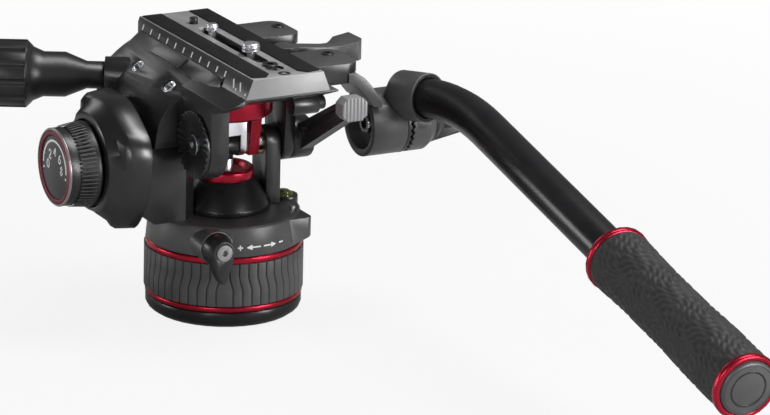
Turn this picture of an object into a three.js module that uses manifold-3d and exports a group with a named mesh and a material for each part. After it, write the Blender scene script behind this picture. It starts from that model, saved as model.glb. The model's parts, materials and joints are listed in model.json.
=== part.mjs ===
// Fluid video head: a gas-spring balanced tilt platform on a drag-damped pan base, with a pan bar.
// Millimetres, +Z up, +Y towards the camera lens, +X to the operator's right.
// The origin is the centre of the base's underside, on the pan axis.
import * as THREE from 'three';
import { mergeVertices } from 'three/addons/utils/BufferGeometryUtils.js';
import Module from 'manifold-3d';

const wasm = await Module();
wasm.setup();

// Clearances and counts shared by all pieces
const runningGap = 0.3;
const boreGap = 0.25;
const seatGap = 0.1;
const overrun = 4;
const roundSides = 36;
const hiddenSides = 24;
const smallSides = 18;
const arcSteps = 10;
const hexSides = 6;

// What the rest is measured from: the base's radius, and the tilt axis above the base
const trimRadius = 43.9;
const tiltAxisHeight = 93;

// Base foot and its tripod thread
const trimHeight = 3.8;
const trimChamfer = 0.9;
const footFloorInset = 4;
const footRadius = trimRadius - runningGap;
const footFloorRadius = footRadius - footFloorInset;
const footHeight = 9.2;
const footCornerHeight = 4.4;
const footCornerInset = 1;
const tripodThreadRadius = 4.76;

// Pan spindle, bearings and rotor
const spindleShare = 0.41;
const spindleRadius = trimRadius * spindleShare;
const spindleWall = 4.8;
const spindleFlangeShare = 0.67;
const spindleFlangeRadius = trimRadius * spindleFlangeShare;
const spindleFlangeHeight = 3.4;
const spindleTop = 51.5;
const bearingRadius = (spindleRadius + spindleFlangeRadius) / 2;
const bearingHeight = 6.5;
const panRotorHeight = 18;

// Pan drag ring with its waved ribs
const dragRingProud = 0.6;
const dragRingWall = 8.5;
const dragRingRadius = trimRadius + dragRingProud;
const dragRingBore = dragRingRadius - dragRingWall;
const dragRingHeight = 24.2;
const dragRibCount = 52;
const dragGrooveDepth = 0.9;
const dragGrooveShare = 0.1;
const dragWaveShare = 0.38;
const dragWaveAngle = 61;
const dragLevelShares = [0, 0.38, 0.68, 1];
const dragBendShares = [1, 1, 0, 0];

// Pan housing
const housingTaper = 1.5;
const housingBaseRadius = trimRadius - seatGap * 2;
const housingTopRadius = housingBaseRadius - housingTaper;
const housingTop = 58;
const housingRoof = 4.2;
const housingEdge = 1;
const lugLeft = 18;
const lugInset = 6.7;
const lugRearInset = 8.4;
const lugWidth = 18;
const lugRight = trimRadius - lugInset;
const lugRear = lugRearInset - trimRadius;
const lugFront = lugRear + lugWidth;
const lugTop = 56.8;
const lugBottom = 41.6;
const lugBottomRise = 4.6;
const lugCorner = 3.2;
const shelfFront = 12.5;
const shelfTop = 50;

// Spirit level on the housing's shelf
const levelY = 3.6;
const levelRadius = 8.2;
const levelHeight = 9;
const levelVialRadius = 5.8;
const levelPocketDepth = 4.5;
const levelDomeRise = 2.6;

// Gas spring
const coneBaseRadius = 25;
const coneTopRadius = 17;
const coneFootHeight = 3;
const coneHeightShare = 0.503;
const coneTop = housingTop + (tiltAxisHeight - housingTop) * coneHeightShare;
const springCylinderInset = 1;
const springCylinderWall = 4;
const springCylinderRadius = spindleRadius - spindleWall - springCylinderInset;
const springBoreRadius = springCylinderRadius - springCylinderWall;
const springFloor = 16.5;
const springFloorWall = 3;
const glandRadius = 16.3;
const glandHeightShare = 0.177;
const glandHeight = (tiltAxisHeight - housingTop) * glandHeightShare;
const glandChamfer = 1.4;
const glandRecessRadius = 12;
const glandRecessDepth = 2;
const rodRadius = 4.5;
const pistonHeight = 9;
const rodTravel = 8;

// The two arms of the tilt axis
const leftArmInner = -24;
const leftArmOuter = -60;
const leftArmHalfWidth = 16.5;
const leftArmChamferX = 8;
const leftArmChamferY = 7;
const leftArmFootRise = 7;
const leftArmFootRun = 9;
const rightArmInner = 21.4;
const rightArmOuter = 30.1;
const rightArmHalfWidth = 9;
const shaftRadius = 5;
const bushWall = 2;
const leftBushLength = 16;
const spigotRadius = 3.5;

// Tilt drag unit on the left arm
const dragUnitRadius = 32.6;
const dragUnitFaceRadius = 23;
const dragUnitShoulder = -68;
const dragUnitOuter = -83.4;
const dragUnitWall = 3;
const tiltRotorRadius = 24.4;
const tiltRotorLength = 7.4;
const coverOuterX = -84.6;
const coverInnerX = -63;
const coverMouthRadius = 24.6;
const coverStationX = [coverOuterX, -84, -79, -77.3, -74.7, -69.5, coverInnerX];
const coverRearRadius = [26, 28.4, 32.6, 34.1, 35.4, 35.8, 36.4];
const coverFrontRadius = [25.6, 26.2, 28.1, 28.9, 30.6, 34, 36.4];
const coverCrestRadius = [25.6, 26.6, 31, 37.6, 40, 40.8, 41.4];
const coverLobeAngles = [52, 155, 245];
const coverLobeShares = [1, 0.9, 0.5];
const coverLobeWidth = 17;
const coverFrontLobeWidth = 8;
const coverSides = 50;

// Tilt drag knob
const knobFaceX = -104;
const knobFaceRadius = 21.6;
const knobBaseRadius = 23.9;
const knobBaseX = -85.6;
const knobWaistRadius = 21.2;
const knobStemRadius = 8;
const knobRingRadius = 20.4;
const knobRingWidth = 2.7;
const knobRingHeight = 2;
const knobDialHeight = 1.6;

// Platform (deck) over the tilt axis: heights in the tilt group are measured from the tilt axis
const deckLeft = -26;
const deckRight = 30.5;
const deckRear = -75;
const deckRearEdge = 47.5;
const deckChamferTo = -52;
const deckFront = 60;
const deckBottom = 38.5;
const deckTop = 48.3;
const frontLobeRight = 53.5;
const rearLobeRight = 56;
const lobeRootRight = 48;
const lobeBottom = 44;
const lobeLedge = 49.5;
const lobeTop = 55.2;
const frontLobeFrom = 12;
const frontLobeTo = 44;
const rearLobeFrom = -53;
const rearLobeTo = -21;
const lobeCorner = 8;
const bridgeRight = 42;
const bridgeTop = 50;
const earInner = 30.8;
const earThickness = 6;
const earRadius = 12;
const earTopHalf = 15;
const buttonY = -62;
const buttonRise = 38.5;
const buttonRadius = 3.8;
const buttonBossRadius = 5.6;
const buttonBossFrom = 8;
const buttonBossTo = 23.5;
const buttonProud = 4.5;
const buttonDepth = 9;
const buttonTravel = 2.5;

// Tilt hood on the left of the platform: its curved outline at the full part and at the rear wall
const hoodInner = -26;
const hoodOuter = -52.5;
const hoodFoot = 6;
const hoodFullX = [-26, -30, -38, -45, -50, -52.2, -52.5];
const hoodFullRise = [48.3, 48.6, 43.7, 37.6, 31.8, 24, 14];
const hoodRearX = [-26, -29.5, -36, -42, -46, -49.8, -51.4];
const hoodRearRise = [48.3, 45.4, 37.5, 32.3, 28.9, 22, 14];
const hoodFullFrom = 4;
const hoodCurveSteps = 12;
const railCrownX = -24.1;
const railCrownRise = 53.3;
const railStationY = [-45, -32, 4, 60];
const railFootX = [-26.2, -30, -30, -30];
const railFootRise = [50.5, 45, 48.6, 48.6];
const railSink = 4;
const panelRear = -3;
const panelFront = 33;
const panelRun = 8.6;
const panelThickness = 0.8;
const panelInset = 0.6;
const hoodArchRadius = 17.8;
const hoodArchRearAngle = 150;
const hoodArchFrontAngle = 51;
const hoodRearWall = -18.2;
const hoodNoseBottom = 24;
const hoodRearFlank = 37;
const hoodRearTip = 45.5;
const webCrownRise = 43.5;
const rosetteY = -37;
const rosetteRise = 15;
const rosetteBossRadius = 19.2;
const rosetteBossFace = -36.4;
const socketRadius = 4.2;
const socketDepth = 6;
const socketX = [-39.7, -38.2];
const socketY = [30.5, -6];
const socketHeight = [42.3, 40.2];
const socketTilt = -41;

// Rosettes
const rosetteRadius = 18.6;
const rosetteBore = 6.4;
const rosetteThickness = 1.6;
const rosetteToothDepth = 1.4;
const rosetteToothCount = 30;
const rosetteBoltRadius = 6;
const rosetteBoltHeight = 2.4;

// Red yoke under the platform, with the gas spring's carriage inside
const yokeRadius = 26;
const yokeBottom = 20;
const yokeEarInner = 12;
const yokeEarOuter = 18;
const yokeEarTopHalf = 10;
const yokeEarTipHalf = 5.2;
const yokeEarTip = -6;
const yokeChamfer = 1.2;
const carriageStemRadius = 8.6;
const carriageStemTop = 30;
const carriageHalfWidth = 10;
const carriageHalfDepth = 6.6;
const carriageCheek = 3.6;
const carriageCrown = 6.8;
const eyeRadius = 6;
const eyePinRadius = 3;
const eyeNeckBottom = -7;

// Counterbalance knob at the front left
const balanceX = -48.5;
const balanceY = 49;
const balanceRise = 33;
const balanceAngle = 152;
const balanceBossRadius = 10.5;
const balanceBossBack = 14;
const balanceBossFront = 2;
const neckRadius = 7.7;
const neckLength = 12;
const gripRadius = 12.6;
const gripStart = 24;
const gripEnd = 36;
const headRadius = 19;
const headStart = 43;
const headEnd = 66;
const headCorner = 2.5;
const headFluteCount = 12;
const headFluteDepth = 1.2;
const balanceShaftRadius = 3.6;
const balanceShaftLength = 26;

// Right wing and the pan bar's rosette drum
const wingOutlineX = [48, 53, 58, 62, 65.4, 69, 69, 64, 60, 56, 52, 48];
const wingOutlineRise = [49.5, 49.5, 46, 41.6, 37.2, 32, 28, 29, 34, 39, 43, 44];
const wingRear = -54;
const wingFront = -21;
const drumRadius = 18.5;
const drumInner = 64;
const drumSplit = 88.2;
const drumRecessRadius = 14.5;
const drumRecessDepth = 8;
const clampOuter = 104.5;
const clampChamferFrom = 100;
const clampChamferRadius = 15.7;
const clampBoltRadius = 4;

// Tilt lock lever
const lockHubInner = 37.2;
const lockHubOuter = 50;
const lockHubRadius = 12;
const lockTipY = -62;
const lockTipRise = 33;
const lockBarUpper = 5;
const lockBarHubLower = 9.5;
const lockBarTipLower = 6;
const lockGrooveHalf = 1.8;
const lockBarInner = 41;
const lockBarOuter = 48.5;
const lockGripLeft = 35.5;
const lockGripRight = 51;
const lockGripHeight = 13;
const lockGripLift = 1.2;
const lockGripDepth = 9;
const lockGripRibCount = 7;
const lockGripRibDepth = 0.9;

// Pan lock lever
const panLockSideInset = 19.4;
const panLockX = panLockSideInset - trimRadius;
const panLockHeight = 48;
const panLockBossRadius = 9.6;
const panLockBossInset = 3.7;
const panLockReach = 9.8;
const panLockBossFace = panLockBossInset - trimRadius;
const panLockBarrelRadius = 9.2;
const panLockHeadRadius = 6.3;
const panLockEnd = panLockBossFace - panLockReach;
const panLockBladeDepth = 8.6;
const panLockHalfShares = [0.98, 0.87, 0.5, 0.12];
const panLockDrops = [1, 5, 13.3, 18.4];
const panLockScrewRadius = 4.6;
const panLockScrewProud = 0.8;
const hexSocketRadius = 1.9;
const hexSocketDepth = 2.4;

// Camera plate: heights measured from the deck
const plateRear = -75;
const plateFront = 66.5;
const plateReliefFrom = 62;
const plateReliefHalf = 22.4;
const plateTopHalf = 21.3;
const plateBottomHalf = 25.5;
const plateThickness = 11;
const plateLift = 0.3;
const slotHalf = 3.7;
const slotRear = -45.8;
const slotFront = 31.1;
const channelHalf = 7.2;
const channelDepth = 6;
const channelEnd = 8;
const ringHoleY = -52.6;
const ringHoleRadius = 3.1;
const ringHoleRecess = 5.2;
const ringHoleDepth = 1.5;
const padInner = 8.6;
const padOuter = 20.4;
const padHeight = 0.7;
const padNoseRun = 5;
const padNoseShare = 0.35;
const padEndInset = 1.6;

// Camera screws and their sliders
const smallScrewY = 18;
const smallThreadRadius = 3.17;
const smallScrewRise = 5.7;
const largeScrewY = -29.5;
const largeThreadRadius = 4.76;
const largeScrewRise = 6.9;
const screwShankRadius = 2.2;
const screwNeckRise = 1.2;
const screwHeadRadius = 5.6;
const screwHeadBottom = 0.5;
const screwHeadTop = 3;
const screwThreadChamfer = 0.7;
const sliderHalf = 6.6;
const sliderBottom = 3.2;
const sliderTop = 5.8;
const videoPinY = 38;
const videoPinRadius = 2.3;
const videoPinRise = 3.4;
const videoPinFoot = 3.4;

// Plate lock lever on the right of the platform
const plateLockX = 34.5;
const plateLockY = -4.5;
const plateLockHubRadius = 7.2;
const plateLockHubOpening = 40;
const plateLockBottom = 50.4;
const plateLockRootEnd = 46.4;
const plateLockNeckBottom = 46.4;
const plateLockHubTop = 54.8;
const plateLockNeckTop = 52;
const plateLockNeckHalf = 4.6;
const plateLockNeckEnd = 62;
const plateLockFlareX = [70, 79.6, 80, 76, 66];
const plateLockFlareY = [8, 7, -8, -12, -10];
const plateLockPaddleBottom = 44.5;
const plateLockTipBottom = 42.4;
const plateLockPaddleTop = 54.8;

// Pan bar: the socket's mouth, the bend's corner and the bar's far end, from the base's centre
const barMouthRise = 32.7;
const barCornerRise = 35.6;
const barEndDrop = 24.2;
const barMouth = [93.7, -61.5, tiltAxisHeight + barMouthRise];
const barCorner = [101, -84.4, tiltAxisHeight + barCornerRise];
const barEnd = [87.1, -406.4, tiltAxisHeight - barEndDrop];
const socketOuterRadius = 13.8;
const socketLength = 24;
const socketFloor = 4;
const barInsertion = 7.5;
const socketRingRadius = 12.9;
const socketRingLength = 2.5;
const barRadius = 11;
const barWall = 1.8;
const barBendRun = 34;
const barBendSteps = 8;
const barSides = 18;
const gripLength = 142;
const gripEndRadius = 17.4;
const gripWaistRadius = 16.4;
const gripRingRadius = 18.3;
const gripRingWidth = 4.4;
const endCapRadius = 15.2;
const endCapProud = 1.2;

// Knob that clamps the pan bar
const barKnobRadius = 15.2;
const barKnobRim = 2;
const barKnobTipRadius = 9;
const barKnobLength = 10.5;
const barKnobWingFrom = 108;
const barKnobWingTo = 131;
const barKnobWingHalf = 4;
const barKnobWingTop = -8;
const barKnobWingBottom = -14.5;
const barKnobWingTip = -10.5;

// Heights of the base's stack, worked out from the sizes above
const trimTop = footHeight + trimHeight;
const ringBase = trimTop + runningGap;
const ringTop = ringBase + dragRingHeight;
const dragTrimTop = ringTop + trimHeight;
const housingBase = dragTrimTop + runningGap;
const levelX = rightArmOuter + levelRadius + runningGap;
const shelfRight = levelX + levelRadius - runningGap;
const boreRadius = bearingRadius + boreGap;
const rodHole = rodRadius + boreGap;
const shaftHole = shaftRadius + boreGap;
const springHole = springCylinderRadius + boreGap;

// Materials
function finish(color, roughness, metalness) {
  return new THREE.MeshStandardMaterial({ color, roughness, metalness });
}
const blackMetal = finish(0x1b1c1e, 0.45, 0.4);
const greyMetal = finish(0x6d6e70, 0.5, 0.6);
const glossBlack = finish(0x101113, 0.2, 0.1);
const redAnodised = finish(0xa50c26, 0.3, 0.8);
const steel = finish(0xb4b6b8, 0.3, 1);
const chrome = finish(0xd8dadc, 0.12, 1);
const rubber = finish(0x1d1d1e, 0.85, 0);
const bronze = finish(0x9a7440, 0.45, 0.9);
const vialGreen = finish(0xb8c83a, 0.15, 0);

// Geometry to solid and back
function signedVolume(position, index) {
  const a = new THREE.Vector3();
  const b = new THREE.Vector3();
  const c = new THREE.Vector3();
  let sum = 0;
  for (let i = 0; i < index.length; i += 3) {
    a.fromBufferAttribute(position, index[i]);
    b.fromBufferAttribute(position, index[i + 1]);
    c.fromBufferAttribute(position, index[i + 2]);
    sum += a.dot(b.cross(c));
  }
  return sum;
}

function solid(geometry) {
  const bare = geometry.clone();
  bare.deleteAttribute('normal');
  bare.deleteAttribute('uv');
  const merged = mergeVertices(bare);
  const kept = [];
  for (let i = 0; i < merged.index.count; i += 3) {
    const corner = [0, 1, 2].map((step) => merged.index.getX(i + step));
    if (new Set(corner).size === 3) kept.push(...corner);
  }
  if (signedVolume(merged.attributes.position, kept) < 0) kept.reverse();
  const vertProperties = new Float32Array(merged.attributes.position.array);
  const triVerts = new Uint32Array(kept);
  return new wasm.Manifold(new wasm.Mesh({ numProp: 3, vertProperties, triVerts }));
}

function surfaceOf(body) {
  const mesh = body.getMesh();
  const geometry = new THREE.BufferGeometry();
  geometry.setAttribute('position', new THREE.BufferAttribute(mesh.vertProperties, 3));
  geometry.setIndex(new THREE.BufferAttribute(mesh.triVerts, 1));
  geometry.computeVertexNormals();
  return geometry;
}

function joined(...bodies) {
  return bodies.reduce((sum, next) => sum.add(next));
}

function cut(body, ...tools) {
  return tools.reduce((rest, tool) => rest.subtract(tool), body);
}

function piece(group, name, body, material) {
  const mesh = new THREE.Mesh(surfaceOf(body), material);
  mesh.name = name;
  group.add(mesh);
  return mesh;
}

// Directions in which a flat outline or a turned profile is raised
const xUp = new THREE.Matrix4().makeBasis(
  new THREE.Vector3(0, 1, 0), new THREE.Vector3(0, 0, 1), new THREE.Vector3(1, 0, 0));
const yDown = new THREE.Matrix4().makeBasis(
  new THREE.Vector3(1, 0, 0), new THREE.Vector3(0, 0, 1), new THREE.Vector3(0, -1, 0));

function outlineShape(points) {
  return new THREE.Shape(points.map(([u, v]) => new THREE.Vector2(u, v)));
}

function raised(points, depth) {
  return new THREE.ExtrudeGeometry(outlineShape(points), { depth, bevelEnabled: false });
}

// Outline in Y and Z, from one X to another
function slabX(points, from, to) {
  return solid(raised(points, to - from).applyMatrix4(xUp).translate(from, 0, 0));
}

// Outline in X and Z, from one Y to another
function slabY(points, from, to) {
  return solid(raised(points, to - from).applyMatrix4(yDown).translate(0, to, 0));
}

// Outline in X and Y, from one Z to another
function slabZ(points, from, to) {
  return solid(raised(points, to - from).translate(0, 0, from));
}

// Profile of [radius, height] pairs, turned about Z
function turnedGeometry(profile, sides) {
  const points = profile.map(([r, h]) => new THREE.Vector2(r, h));
  const onAxis = points[0].x === 0 && points[points.length - 1].x === 0;
  if (!onAxis) points.push(points[0].clone());
  return new THREE.LatheGeometry(points, sides).rotateX(Math.PI / 2);
}

function turnedZ(profile, sides = roundSides) {
  return solid(turnedGeometry(profile, sides));
}

function turnedX(profile, sides = roundSides, y = 0, z = 0) {
  return solid(turnedGeometry(profile, sides).applyMatrix4(xUp).translate(0, y, z));
}

function rodZ(radius, from, to, sides = roundSides, x = 0, y = 0) {
  return solid(turnedGeometry([[0, from], [radius, from], [radius, to], [0, to]], sides).translate(x, y, 0));
}

function rodX(radius, from, to, sides = roundSides, y = 0, z = 0) {
  return turnedX([[0, from], [radius, from], [radius, to], [0, to]], sides, y, z);
}

function rodY(radius, from, to, sides, x, z) {
  const geometry = turnedGeometry([[0, -to], [radius, -to], [radius, -from], [0, -from]], sides);
  return solid(geometry.applyMatrix4(yDown).translate(x, 0, z));
}

function box(x0, x1, y0, y1, z0, z1) {
  return slabZ([[x0, y0], [x1, y0], [x1, y1], [x0, y1]], z0, z1);
}

function arcPoints(cx, cy, radius, fromDegrees, toDegrees, steps = arcSteps) {
  const points = [];
  for (let i = 0; i <= steps; i += 1) {
    const angle = THREE.MathUtils.degToRad(fromDegrees + (toDegrees - fromDegrees) * i / steps);
    points.push([cx + radius * Math.cos(angle), cy + radius * Math.sin(angle)]);
  }
  return points;
}

// Rectangle in a plane with its two far corners rounded
function tongue(x0, x1, y0, y1, corner) {
  return [
    [x0, y0],
    ...arcPoints(x1 - corner, y0 + corner, corner, -90, 0, arcSteps / 2),
    ...arcPoints(x1 - corner, y1 - corner, corner, 0, 90, arcSteps / 2),
    [x0, y1],
  ];
}

// A ring of radial teeth on its upper face, the teeth growing with the radius
function toothedRing(outer, bore, thickness, depth, count) {
  const steps = count * 2;
  const vertices = [];
  for (let i = 0; i < steps; i += 1) {
    const angle = Math.PI * 2 * i / steps;
    const rise = i % 2 === 0 ? depth : 0;
    for (const radius of [bore, outer]) {
      const x = radius * Math.cos(angle);
      const y = radius * Math.sin(angle);
      vertices.push(x, y, 0, x, y, thickness + rise * radius / outer);
    }
  }
  const faces = [];
  for (let i = 0; i < steps; i += 1) {
    const a = i * 4;
    const b = ((i + 1) % steps) * 4;
    const quads = [[a + 1, a + 3, b + 3, b + 1], [a, b, b + 2, a + 2], [a + 2, b + 2, b + 3, a + 3],
      [a, a + 1, b + 1, b]];
    for (const [p, q, r, s] of quads) faces.push(p, q, r, p, r, s);
  }
  const geometry = new THREE.BufferGeometry();
  geometry.setAttribute('position', new THREE.Float32BufferAttribute(vertices, 3));
  geometry.setIndex(faces);
  return geometry;
}

// A closed body through rings of equal length, each ring a list of points
function lofted(rings) {
  const count = rings[0].length;
  const vertices = rings.flat(2);
  const faces = [];
  for (let k = 0; k < rings.length - 1; k += 1) {
    for (let i = 0; i < count; i += 1) {
      const j = (i + 1) % count;
      const low = k * count;
      const high = low + count;
      faces.push(low + i, low + j, high + j, low + i, high + j, high + i);
    }
  }
  for (const ring of [0, rings.length - 1]) {
    const middle = vertices.length / 3;
    for (let axis = 0; axis < 3; axis += 1) {
      vertices.push(rings[ring].reduce((sum, point) => sum + point[axis], 0) / count);
    }
    for (let i = 0; i < count; i += 1) {
      const a = ring * count + i;
      const b = ring * count + (i + 1) % count;
      if (ring === 0) faces.push(middle, b, a);
      else faces.push(middle, a, b);
    }
  }
  const geometry = new THREE.BufferGeometry();
  geometry.setAttribute('position', new THREE.Float32BufferAttribute(vertices, 3));
  geometry.setIndex(faces);
  return geometry;
}

const head = new THREE.Group();

// Base: foot, trim ring and spindle, which stay on the tripod
function makeBase(group) {
  piece(group, 'base_foot', turnedZ([
    [tripodThreadRadius, 0], [footFloorRadius, 0], [footRadius - footCornerInset, footCornerHeight / 2],
    [footRadius, footCornerHeight], [footRadius, footHeight], [tripodThreadRadius, footHeight],
  ]), blackMetal);
  piece(group, 'base_trim_ring', turnedZ([
    [spindleFlangeRadius + boreGap, footHeight], [trimRadius - trimChamfer, footHeight],
    [trimRadius, footHeight + trimChamfer], [trimRadius, trimTop - trimChamfer],
    [trimRadius - trimChamfer, trimTop], [spindleFlangeRadius + boreGap, trimTop],
  ]), redAnodised);
  const floor = footHeight + spindleFlangeHeight;
  const inner = spindleRadius - spindleWall;
  piece(group, 'pan_spindle', turnedZ([
    [tripodThreadRadius, footHeight], [spindleFlangeRadius, footHeight], [spindleFlangeRadius, floor],
    [spindleRadius, floor], [spindleRadius, spindleTop], [inner, spindleTop], [inner, floor],
    [tripodThreadRadius, floor],
  ], hiddenSides), steel);
  const rotorBase = ringBase + bearingHeight + runningGap * 2;
  piece(group, 'pan_drag_rotor', turnedZ([
    [spindleRadius + seatGap, rotorBase], [bearingRadius - runningGap, rotorBase],
    [bearingRadius - runningGap, rotorBase + panRotorHeight],
    [spindleRadius + seatGap, rotorBase + panRotorHeight],
  ], hiddenSides), bronze);
}

// Waved ribs round the pan drag ring: below mid height the grooves lean one way on one half of the
// ring and the other way on the other half
function dragRingBody() {
  const pitch = Math.PI * 2 / dragRibCount;
  const lean = (i) => (i <= dragRibCount / 2 ? -dragWaveShare : dragWaveShare);
  const origin = THREE.MathUtils.degToRad(dragWaveAngle);
  const rings = dragLevelShares.map((level, k) => {
    const ring = [];
    for (let i = 0; i < dragRibCount; i += 1) {
      const here = i + lean(i) * dragBendShares[k];
      const next = i + 1 + lean(i + 1) * dragBendShares[k];
      for (const [spot, radius] of [[here, dragRingRadius - dragGrooveDepth],
        [here + dragGrooveShare, dragRingRadius], [next - dragGrooveShare, dragRingRadius]]) {
        const angle = origin + pitch * spot;
        ring.push([radius * Math.cos(angle), radius * Math.sin(angle), ringBase + dragRingHeight * level]);
      }
    }
    return ring;
  });
  return cut(solid(lofted(rings)), rodZ(dragRingBore, ringBase - overrun, ringTop + overrun));
}

function makeDragRing(group) {
  piece(group, 'pan_drag_ring', dragRingBody(), rubber);
  piece(group, 'drag_trim_ring', turnedZ([
    [dragRingBore, ringTop], [trimRadius, ringTop], [trimRadius, dragTrimTop - trimChamfer],
    [trimRadius - trimChamfer, dragTrimTop], [dragRingBore, dragTrimTop],
  ]), redAnodised);
}

// Pan housing: drum, shelf for the level, lug and the pan lock's boss
function housingBody() {
  const skirt = dragRingBore - runningGap;
  const bottom = trimTop + runningGap;
  const drum = turnedZ([
    [boreRadius, bottom], [skirt, bottom], [skirt, housingBase], [housingBaseRadius, housingBase],
    [housingTopRadius, housingTop - housingEdge], [housingTopRadius - housingEdge, housingTop],
    [springHole, housingTop], [springHole, housingTop - housingRoof], [boreRadius, housingTop - housingRoof],
  ]);
  const ringSpace = rodZ(dragRingRadius + runningGap * 2, housingBase - overrun, housingBase);
  const core = rodZ(dragRingBore, housingBase - overrun, housingTop);
  const lugPlan = slabZ([
    [lugLeft, lugRear],
    ...arcPoints(lugRight - lugCorner, lugRear + lugCorner, lugCorner, -90, 0, arcSteps / 2),
    [lugRight, lugFront], [lugLeft, lugFront],
  ], lugBottom, lugTop);
  const lugSide = slabY([
    [lugLeft, lugBottom], [lugLeft + lugCorner * 2, lugBottom], [lugRight, lugBottom + lugBottomRise],
    [lugRight, lugTop], [lugLeft, lugTop],
  ], lugRear, lugFront);
  const lug = lugPlan.intersect(lugSide);
  const shelf = slabZ(tongue(lugLeft, shelfRight, lugFront, shelfFront, lugCorner), housingBase, shelfTop);
  const boss = rodY(panLockBossRadius, panLockBossFace, panLockBossFace / 2, smallSides, panLockX,
    panLockHeight);
  const added = cut(joined(lug, shelf, boss), core, ringSpace);
  const levelPocket = rodZ(levelRadius + boreGap, shelfTop, housingTop + overrun, smallSides,
    levelX, levelY);
  const leverSweep = rodY(panLockBarrelRadius + runningGap, -housingBaseRadius - overrun, panLockBossFace,
    smallSides, panLockX, panLockHeight);
  return cut(joined(drum, added), levelPocket, leverSweep);
}

// The outside of the cone, grown by a gap, as a cutter for what stands beside it
function coneCutter() {
  const rise = housingTop + coneFootHeight;
  return turnedZ([
    [0, housingTop], [coneBaseRadius + runningGap, housingTop], [coneBaseRadius + runningGap, rise],
    [coneTopRadius + runningGap, coneTop], [coneTopRadius + runningGap, coneTop + glandHeight + runningGap],
    [0, coneTop + glandHeight + runningGap],
  ]);
}

function leftArmBody() {
  const round = slabX([
    [-leftArmHalfWidth, housingTop], [leftArmHalfWidth, housingTop],
    ...arcPoints(0, tiltAxisHeight, leftArmHalfWidth, 0, 180, arcSteps * 2),
  ], leftArmOuter, leftArmInner);
  const y = leftArmHalfWidth;
  const plan = slabZ([
    [leftArmOuter, -y], [leftArmInner - leftArmChamferX, -y], [leftArmInner, leftArmChamferY - y],
    [leftArmInner, y - leftArmChamferY], [leftArmInner - leftArmChamferX, y], [leftArmOuter, y],
  ], housingTop, tiltAxisHeight + y);
  const undercut = slabY([
    [leftArmOuter, housingTop], [leftArmOuter + leftArmFootRun, housingTop],
    [leftArmOuter, housingTop + leftArmFootRise],
  ], -y, y);
  const bush = rodX(shaftRadius + bushWall + seatGap * 2, leftArmInner - leftBushLength,
    leftArmInner + overrun, smallSides, 0, tiltAxisHeight);
  const bore = rodX(shaftHole, leftArmOuter - overrun, leftArmInner, smallSides, 0, tiltAxisHeight);
  return cut(round.intersect(plan), undercut, bush, bore, coneCutter());
}

function rightArmBody() {
  const post = slabX([
    [-rightArmHalfWidth, housingTop], [rightArmHalfWidth, housingTop],
    ...arcPoints(0, tiltAxisHeight, rightArmHalfWidth, 0, 180),
  ], rightArmInner, rightArmOuter);
  const hole = rodX(shaftRadius + bushWall + seatGap * 2, rightArmInner - overrun, rightArmOuter + overrun,
    smallSides, 0, tiltAxisHeight);
  return cut(post, hole, coneCutter());
}

function bush(from, to) {
  return turnedX([
    [shaftHole, from], [shaftRadius + bushWall, from], [shaftRadius + bushWall, to], [shaftHole, to],
  ], smallSides, 0, tiltAxisHeight);
}

function makeSpring(group) {
  piece(group, 'spring_cone', turnedZ([
    [springHole, housingTop], [coneBaseRadius, housingTop], [coneBaseRadius, housingTop + coneFootHeight],
    [coneTopRadius, coneTop], [springHole, coneTop],
  ]), blackMetal);
  const top = coneTop + glandHeight;
  piece(group, 'spring_gland', turnedZ([
    [rodHole, coneTop], [glandRadius, coneTop], [glandRadius, top - glandChamfer],
    [glandRadius - glandChamfer, top], [glandRecessRadius, top],
    [glandRecessRadius - glandRecessDepth, top - glandRecessDepth], [rodHole, top - glandRecessDepth],
  ]), redAnodised);
  const floor = springFloor + springFloorWall;
  piece(group, 'spring_cylinder', turnedZ([
    [0, springFloor], [springCylinderRadius, springFloor], [springCylinderRadius, coneTop],
    [springBoreRadius, coneTop], [springBoreRadius, floor], [0, floor],
  ], hiddenSides), steel);
}

// Tilt drag unit: drum, lobed cover
function coverRadius(k, angle) {
  const degrees = THREE.MathUtils.radToDeg(angle);
  const front = degrees < coverLobeAngles[0] || degrees > coverLobeAngles[2];
  const width = front ? coverFrontLobeWidth : coverLobeWidth;
  const lobeRadius = (share) => THREE.MathUtils.lerp(coverRearRadius[k], coverCrestRadius[k], share);
  const valley = front ? coverFrontRadius[k] : coverRearRadius[k];
  return Math.max(...coverLobeAngles.map((lobe, i) => {
    const off = THREE.MathUtils.euclideanModulo(degrees - lobe + 180, 360) - 180;
    const lift = Math.exp(-off * off / width / width);
    return THREE.MathUtils.lerp(valley, lobeRadius(coverLobeShares[i]), lift);
  }));
}

function coverBody() {
  const rings = coverStationX.map((x, k) => Array.from({ length: coverSides }, (_, i) => {
    const angle = Math.PI * 2 * i / coverSides;
    const radius = coverRadius(k, angle);
    return [x, radius * Math.cos(angle), tiltAxisHeight + radius * Math.sin(angle)];
  }));
  const seatGrow = seatGap * 2;
  const seat = turnedX([
    [0, dragUnitOuter - seatGap], [dragUnitFaceRadius + seatGrow, dragUnitOuter - seatGap],
    [dragUnitRadius + seatGrow, dragUnitShoulder - seatGap],
    [dragUnitRadius + seatGrow, coverInnerX + overrun], [0, coverInnerX + overrun],
  ], roundSides, 0, tiltAxisHeight);
  const mouth = rodX(coverMouthRadius, coverOuterX - overrun, coverInnerX, roundSides, 0, tiltAxisHeight);
  return cut(solid(lofted(rings)), seat, mouth);
}

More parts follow.
